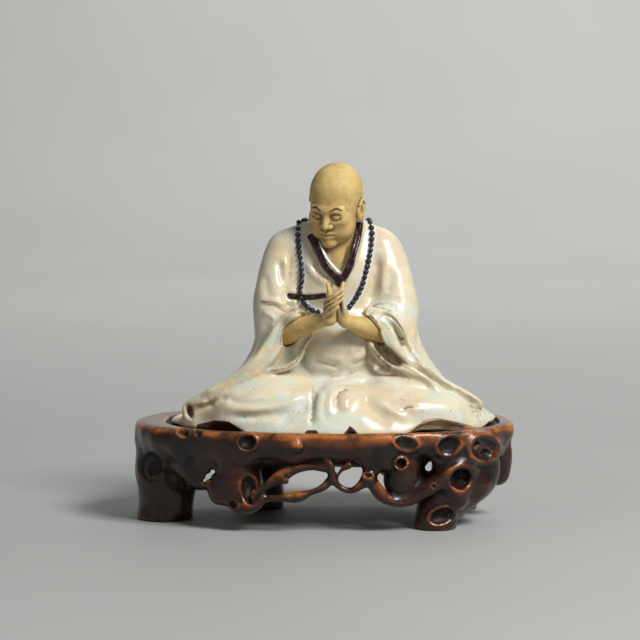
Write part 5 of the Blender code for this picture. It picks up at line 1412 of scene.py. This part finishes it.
def glaze_tints(look, clouds, ridge, slope):
    """Cream, with soft tints in clouds, painted light on the swells, painted shade in broad hollows, and
    browner on the ridges.
    """
    tints = look.noise(34, 3, 0.5, 1.2, look.stretched((0.55, 1.0, 1.5)))
    look.colour = look.mix(look.span(clouds, 0.35, 0.65), (0.69, 0.595, 0.415), (0.76, 0.69, 0.525))
    look.tint(look.span(tints, 0.51, 0.62, 0.0, 0.70), (0.62, 0.69, 0.60))
    look.tint(look.span(tints, 0.48, 0.38, 0.0, 0.55), (0.69, 0.54, 0.37))
    look.tint(look.span(look.noise(60, 3, 0.5, 1.2), 0.53, 0.66, 0.0, 0.55), (0.76, 0.63, 0.335))
    # painted light on broad swells, and painted shade in broad hollows
    look.tint(look.span(slope, 0.3, 0.95, 0.0, 0.30), (0.79, 0.75, 0.63))
    look.tint(look.span(slope, -0.2, -0.95, 0.0, 0.25), (0.44, 0.40, 0.31))
    look.tint(look.span(ridge, 0.45, 0.95, 0.0, 0.45), (0.62, 0.47, 0.24))
    look.tint(look.span(look.noise(1300, 2, 0.7), 0.54, 0.70, 0.0, 0.28), (0.46, 0.41, 0.31))


def glaze_pools(look, clouds):
    """Opalescent pools, finely mottled."""
    opal = look.times(look.attribute("opal"), look.span(look.noise(160, 3, 0.6), 0.34, 0.60))
    pools = look.most(opal, look.times(look.span(clouds, 0.56, 0.72), 0.4))
    mottle = look.mix(look.span(look.noise(1100, 2, 0.7), 0.4, 0.62), (0.58, 0.65, 0.64), (0.82, 0.84, 0.78))
    look.tint(look.times(pools, 0.75), mottle)
    return opal


def glaze_stains(look, ridge):
    """Painted shade with some soiling in brown veils, stains and painted shade in the deepest creases, pale
    glaze round the beads, and fine dirty lines, with painted shade in the right sleeve's hollow.
    """
    # darker in the deepest creases, in patches: a stain, and painted shade
    crease_stain_and_shade = look.times(look.span(ridge, -0.62, -1.0), look.span(look.noise(90, 3), 0.40, 0.62, 0.05, 0.45))
    look.tint(crease_stain_and_shade, (0.26, 0.18, 0.09))
    # painted shade, with some soiling, where the brown mask is set
    shade_and_soil_veil = look.times(look.attribute("brown"), look.span(look.noise(110, 4, 0.6, 0.8), 0.3, 0.66, 0.6, 1.0))
    look.tint(shade_and_soil_veil, (0.20, 0.155, 0.10))
    halo = look.times(look.attribute("halo"), look.span(look.noise(420, 3), 0.34, 0.56, 0.3, 0.95))
    look.tint(halo, (0.74, 0.79, 0.82))
    # fine dirty lines, and painted shade in the right sleeve's hollow
    dirt_and_shade = look.times(look.attribute("line"), look.span(look.noise(240, 3, 0.6), 0.36, 0.56, 0.2, 0.9))
    look.tint(dirt_and_shade, (0.16, 0.10, 0.045))


def glaze_paint(look):
    """The dark bands, the bare skin, and the white edge between them, which is pale glaze and a painted
    highlight.
    """
    purple = look.mix(look.span(look.noise(260, 3), 0.48, 0.72), (0.016, 0.006, 0.008), (0.085, 0.040, 0.045))
    look.tint(look.span(look.attribute("dark"), 0.25, 0.65), purple)
    skin = look.mix(look.span(look.noise(300, 4), 0.3, 0.7), (0.24, 0.175, 0.08), (0.38, 0.29, 0.14))
    look.tint(look.attribute("bare"), skin)
    look.tint(look.attribute("white"), (0.80, 0.79, 0.74))


def glaze_marks(look):
    """Pinholes and crackle."""
    dots = look.span(look.cells(190), 0.11, 0.065)
    dots = look.times(dots, look.span(look.noise(55, 2), 0.46, 0.58))
    look.tint(look.times(dots, 0.85), (0.07, 0.045, 0.03))
    lines = look.span(look.cells(230, "DISTANCE_TO_EDGE"), 0.05, 0.012)
    lines = look.times(lines, look.attribute("crackle"))
    lines = look.times(lines, look.span(look.noise(80, 2), 0.40, 0.56))
    look.tint(look.times(lines, 0.8), (0.16, 0.13, 0.06))
    return dots, lines


def glaze_edges(look):
    """The bare edge under the hem, ragged, with a rusty line where the glaze ends and its tan painted lighter
    as painted light, and the broken one painted near black as shade.
    """
    ragged = look.times(look.noise(420, 3, 0.7), 0.5)
    reach = look.plus(look.attribute("edge"), ragged)
    look.tint(look.span(reach, 0.34, 0.46), (0.40, 0.14, 0.045))
    striped = look.noise(300, 4, 0.6, 0.3, look.stretched((0.25, 1.0, 3.5)))
    # the wall's tan is painted lighter than the clay's own, as painted light in the shade under the lifted
    # hem
    wall = look.mix(look.span(striped, 0.38, 0.62), (0.42, 0.25, 0.12), (0.95, 0.72, 0.45))
    edge = look.span(reach, 0.56, 0.72)
    look.tint(edge, wall)
    # the broken edge's clay, painted near black as the shade in the gap under the hem
    broken = look.span(look.noise(420, 5, 0.7), 0.35, 0.7)
    broken = look.mix(broken, (0.022, 0.009, 0.005), (0.12, 0.048, 0.018))
    chip_and_shade = look.span(look.plus(look.attribute("chip_and_shade"), ragged), 0.55, 0.72)
    look.tint(chip_and_shade, broken)
    return look.most(edge, chip_and_shade)


def glaze_look():
    """Thick cream glaze in soft tints, blue-white where it pools, with stains, pinholes and crackle, and
    painted light and shade.
    """
    look = Look("cream_glaze")
    ridge = look.attribute("ridge")
    clouds = look.noise(38, 4, 0.55, 0.6)
    grain = look.noise(900, 3, 0.6)
    glaze_tints(look, clouds, ridge, look.attribute("slope"))
    opal = glaze_pools(look, clouds)
    glaze_stains(look, ridge)
    glaze_paint(look)
    dots, lines = glaze_marks(look)
    bare = look.most(look.attribute("bare"), glaze_edges(look))
    rough = look.plus(look.span(grain, 0.3, 0.7, 0.22, 0.30), look.times(opal, 0.08))
    rough = look.most(rough, look.times(bare, 0.7))
    height = look.plus(look.times(clouds, 0.6), look.times(grain, 0.05))
    height = look.less(height, look.times(dots, 0.5))
    height = look.less(height, look.times(lines, 0.15))
    look.set(Base_Color=look.colour, Roughness=rough, Normal=look.bump(height, 0.0006, 0.7))
    look.set(Coat_Weight=look.times(look.less(1.0, bare), 0.08), Coat_Roughness=0.10)
    look.set(IOR=1.42)
    return look.material


def bare_clay_look():
    """Matt ochre biscuit clay, fine-grained, darker in its hollows with dirt and painted shade, and dirtiest
    on the hands.
    """
    look = Look("buff_biscuit_clay")
    ridge, slope = look.attribute("ridge"), look.attribute("slope")
    clouds = look.noise(90, 4, 0.6)
    grain = look.noise(1500, 4, 0.65)
    look.colour = look.mix(look.span(clouds, 0.32, 0.68), (0.55, 0.365, 0.125), (0.70, 0.505, 0.20))
    look.tint(look.span(look.noise(70, 4, 0.6), 0.5, 0.66, 0.0, 0.55), (0.56, 0.33, 0.12))
    look.tint(look.span(ridge, 0.1, 0.9, 0.0, 0.40), (0.76, 0.60, 0.32))
    # painted shade with dirt: hollows darken, to near black on the fingers
    grime_and_shade = look.attribute("grime_and_shade")
    hollow = look.mix(grime_and_shade, (0.20, 0.125, 0.042), (0.028, 0.016, 0.008))
    look.tint(look.span(ridge, -0.04, -0.5, 0.0, 0.96), hollow)
    # painted shade in broad hollows
    look.tint(look.span(slope, -0.1, -0.9, 0.0, 0.5), (0.24, 0.16, 0.06))
    dirty = look.times(grime_and_shade, look.span(look.noise(330, 4, 0.7), 0.50, 0.66, 0.0, 0.6))
    look.tint(dirty, (0.14, 0.09, 0.035))
    specks = look.span(look.cells(210), 0.17, 0.08)
    specks = look.times(specks, look.span(look.noise(140, 2), 0.44, 0.58))
    look.tint(look.times(specks, 0.8), (0.18, 0.105, 0.04))
    look.tint(look.span(grain, 0.42, 0.62, 0.0, 0.25), (0.36, 0.24, 0.09))
    look.tint(look.attribute("white"), (0.68, 0.73, 0.71))
    look.tint(look.attribute("dark"), (0.030, 0.020, 0.016))
    height = look.less(look.plus(look.times(grain, 0.25), clouds), specks)
    look.set(Base_Color=look.colour, Roughness=look.span(grain, 0.3, 0.7, 0.50, 0.66))
    look.set(Normal=look.bump(height, 0.0003, 0.7))
    look.set(IOR=1.45)
    return look.material


def bead_look():
    """Blue-black glaze, purplish here and there, with pale flecks on each bead: glaze caught on it, and
    painted glints.
    """
    look = Look("blue_black_glaze")
    clouds = look.noise(300, 3, 0.6)
    look.colour = look.mix(look.span(clouds, 0.42, 0.70), (0.007, 0.007, 0.011), (0.045, 0.026, 0.036))
    look.tint(look.times(look.attribute("tone"), 0.3), (0.030, 0.030, 0.042))
    # pale flecks: glaze caught on the beads, and painted glints
    pale = look.span(look.noise(700, 2), 0.66, 0.76, 0.0, 0.45)
    look.tint(pale, (0.42, 0.42, 0.44))
    look.set(Base_Color=look.colour, Roughness=look.span(clouds, 0.3, 0.7, 0.14, 0.26))
    look.set(Normal=look.bump(clouds, 0.0003, 0.5))
    look.set(Coat_Weight=0.4, Coat_Roughness=0.08, IOR=1.5)
    return look.material


def wood_look():
    """Polished root wood: near black in its hollows as painted shade, dark red-brown, and rubbed orange on
    its ridges and the rim's upper edge, partly painted light.
    """
    look = Look("polished_root_wood")
    ridge, slope, worn_and_lit = look.attribute("ridge"), look.attribute("slope"), look.attribute("worn_and_lit")
    clouds = look.noise(26, 4, 0.6, 0.8)
    along = look.stretched((1.0, 1.6, 6.0))
    grain = look.noise(160, 6, 0.6, 1.0, along)
    fine = look.noise(900, 4, 0.6, 0.3, along)
    look.colour = look.mix(look.span(clouds, 0.34, 0.68), (0.005, 0.0035, 0.003), (0.046, 0.0125, 0.006))
    look.tint(look.span(grain, 0.40, 0.66, 0.0, 0.5), (0.007, 0.0045, 0.0035))
    # rubbed orange, and painted light on tops and on the rim's lit band
    rubbed_and_lit = look.times(worn_and_lit, look.span(look.noise(52, 4, 0.6, 0.5), 0.38, 0.62, 0.12, 1.0))
    rubbed_and_lit = look.times(rubbed_and_lit, look.span(grain, 0.25, 0.6, 1.0, 0.7))
    warm = look.mix(worn_and_lit, (0.12, 0.026, 0.006), (0.50, 0.155, 0.036))
    look.tint(rubbed_and_lit, warm)
    # painted shade: hollows near black
    hollow = look.plus(look.span(ridge, -0.10, -0.7), look.span(slope, -0.10, -0.6), clamp=True)
    look.tint(look.times(hollow, 0.9), (0.004, 0.0035, 0.003))
    dust = look.times(look.span(ridge, -0.35, -0.9), look.span(look.noise(420, 3), 0.54, 0.70))
    look.tint(look.times(dust, 0.3), (0.13, 0.10, 0.075))
    rough = look.plus(look.span(fine, 0.3, 0.7, 0.18, 0.28), look.times(hollow, 0.3))
    height = look.plus(look.times(grain, 0.6), look.times(fine, 0.25))
    look.set(Base_Color=look.colour, Roughness=rough, Normal=look.bump(height, 0.0006, 0.5))
    look.set(Coat_Weight=look.less(0.3, look.times(hollow, 0.3)), Coat_Roughness=0.07)
    look.set(IOR=1.38)
    return look.material


def floor_look():
    look = Look("pale_floor")
    shade = look.span(look.noise(3, 2), 0.2, 0.8)
    look.set(Base_Color=look.mix(shade, (0.41, 0.415, 0.40), (0.43, 0.435, 0.42)), Roughness=0.6)
    look.shader.inputs["Specular IOR Level"].default_value = 0.3
    return look.material


# Putting the pieces in place

def placed(mesh, place, look):
    """A smooth-shaded object from a mesh in its own units, its mesh in the row frame."""
    mesh.transform(Matrix.Translation(place) @ Matrix.Scale(UNIT, 4))
    mesh.polygons.foreach_set("use_smooth", np.ones(len(mesh.polygons), bool))
    mesh.materials.append(look)
    mesh.update()
    piece = bpy.data.objects.new(mesh.name, mesh)
    bpy.context.scene.collection.objects.link(piece)
    return piece


# Name, place, what it is aimed at, width and height, and power
LIGHTS = (
    ("key", (1.3, -1.45, 1.95), (0.0, 0.0, 0.13), (0.9, 0.9), 79),
    ("fill", (-1.2, -0.9, 0.8), (0.0, 0.0, 0.12), (0.8, 0.8), 1),
    ("rim", (0.5, 0.9, 1.1), (0.0, 0.0, 0.15), (0.6, 0.6), 2),
    ("backdrop_light", (0.7, 2.0, 2.4), (0.3, 3.6, 1.1), (3.0, 1.6), 84),
)
ROOM_LIGHT = (0.80, 0.82, 0.82, 1.0)
ROOM_STRENGTH = 0.17

CAMERA_PLACE = (-0.0033, -1.9924, 0.3206)
CAMERA_TILT = 85
CAMERA_LENS = 153.0


def area_light(name, place, aim, size, power):
    light = bpy.data.lights.new(name, "AREA")
    light.shape = "RECTANGLE"
    light.size, light.size_y = size
    light.energy = power
    lamp = bpy.data.objects.new(name, light)
    bpy.context.scene.collection.objects.link(lamp)
    lamp.location = place
    lamp.rotation_mode = "QUATERNION"
    lamp.rotation_quaternion = (Vector(aim) - Vector(place)).to_track_quat("-Z", "Y")


def backdrop():
    """A floor that sweeps up behind into a wall in one soft curve."""
    half, front, back, radius, top = 6.0, -5.0, 2.6, 1.6, 5.0
    profile = [(front, 0.0)]
    for k in range(17):
        angle = math.radians(90 * k / 16)
        profile.append((back + radius * math.sin(angle), radius * (1 - math.cos(angle))))
    profile.append((back + radius, top))
    sweep = bmesh.new()
    rows = [[sweep.verts.new((x, y, z)) for x in (-half, half)] for y, z in profile]
    for a, b in zip(rows, rows[1:]):
        sweep.faces.new((a[0], a[1], b[1], b[0]))
    mesh = bpy.data.meshes.new("backdrop")
    sweep.to_mesh(mesh)
    sweep.free()
    mesh.polygons.foreach_set("use_smooth", np.ones(len(mesh.polygons), bool))
    mesh.materials.append(floor_look())
    piece = bpy.data.objects.new("backdrop", mesh)
    bpy.context.scene.collection.objects.link(piece)


def room():
    """The soft light from all round."""
    world = bpy.data.worlds.new("studio")
    world.use_nodes = True
    background = world.node_tree.nodes["Background"]
    background.inputs["Color"].default_value = ROOM_LIGHT
    background.inputs["Strength"].default_value = ROOM_STRENGTH
    bpy.context.scene.world = world


def eye_of_the_photo():
    """The camera, set where the photo was taken from."""
    camera = bpy.data.cameras.new("camera")
    camera.sensor_width = 36.0
    camera.lens = CAMERA_LENS
    stand_point = bpy.data.objects.new("camera", camera)
    stand_point.location = CAMERA_PLACE
    stand_point.rotation_euler = (math.radians(CAMERA_TILT), 0.0, 0.0)
    bpy.context.scene.collection.objects.link(stand_point)
    bpy.context.scene.camera = stand_point


def main():
    glaze, clay, dark, wood = glaze_look(), bare_clay_look(), bead_look(), wood_look()
    robe = robe_mesh()
    places = bead_places(robe)
    beads = beads_mesh(places)
    halo_paint(robe, places)
    for mesh, look, slot, node in (
        (robe, glaze, "glaze", "monk_figure"),
        (head_mesh(), clay, "bare_clay", "monk_figure"),
        (hands_mesh(), clay, "bare_clay", "monk_figure"),
        (beads, dark, "dark_glaze", "monk_figure"),
        (stand_mesh(), wood, "root_wood", "carved_stand"),
    ):
        piece = placed(mesh, FIGURE_PLACE if node == "monk_figure" else STAND_PLACE, look)
        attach(piece, "root")
        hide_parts(node)
    backdrop()
    for light in LIGHTS:
        area_light(*light)
    room()
    eye_of_the_photo()
    bpy.context.scene.view_settings.view_transform = "Standard"


main()
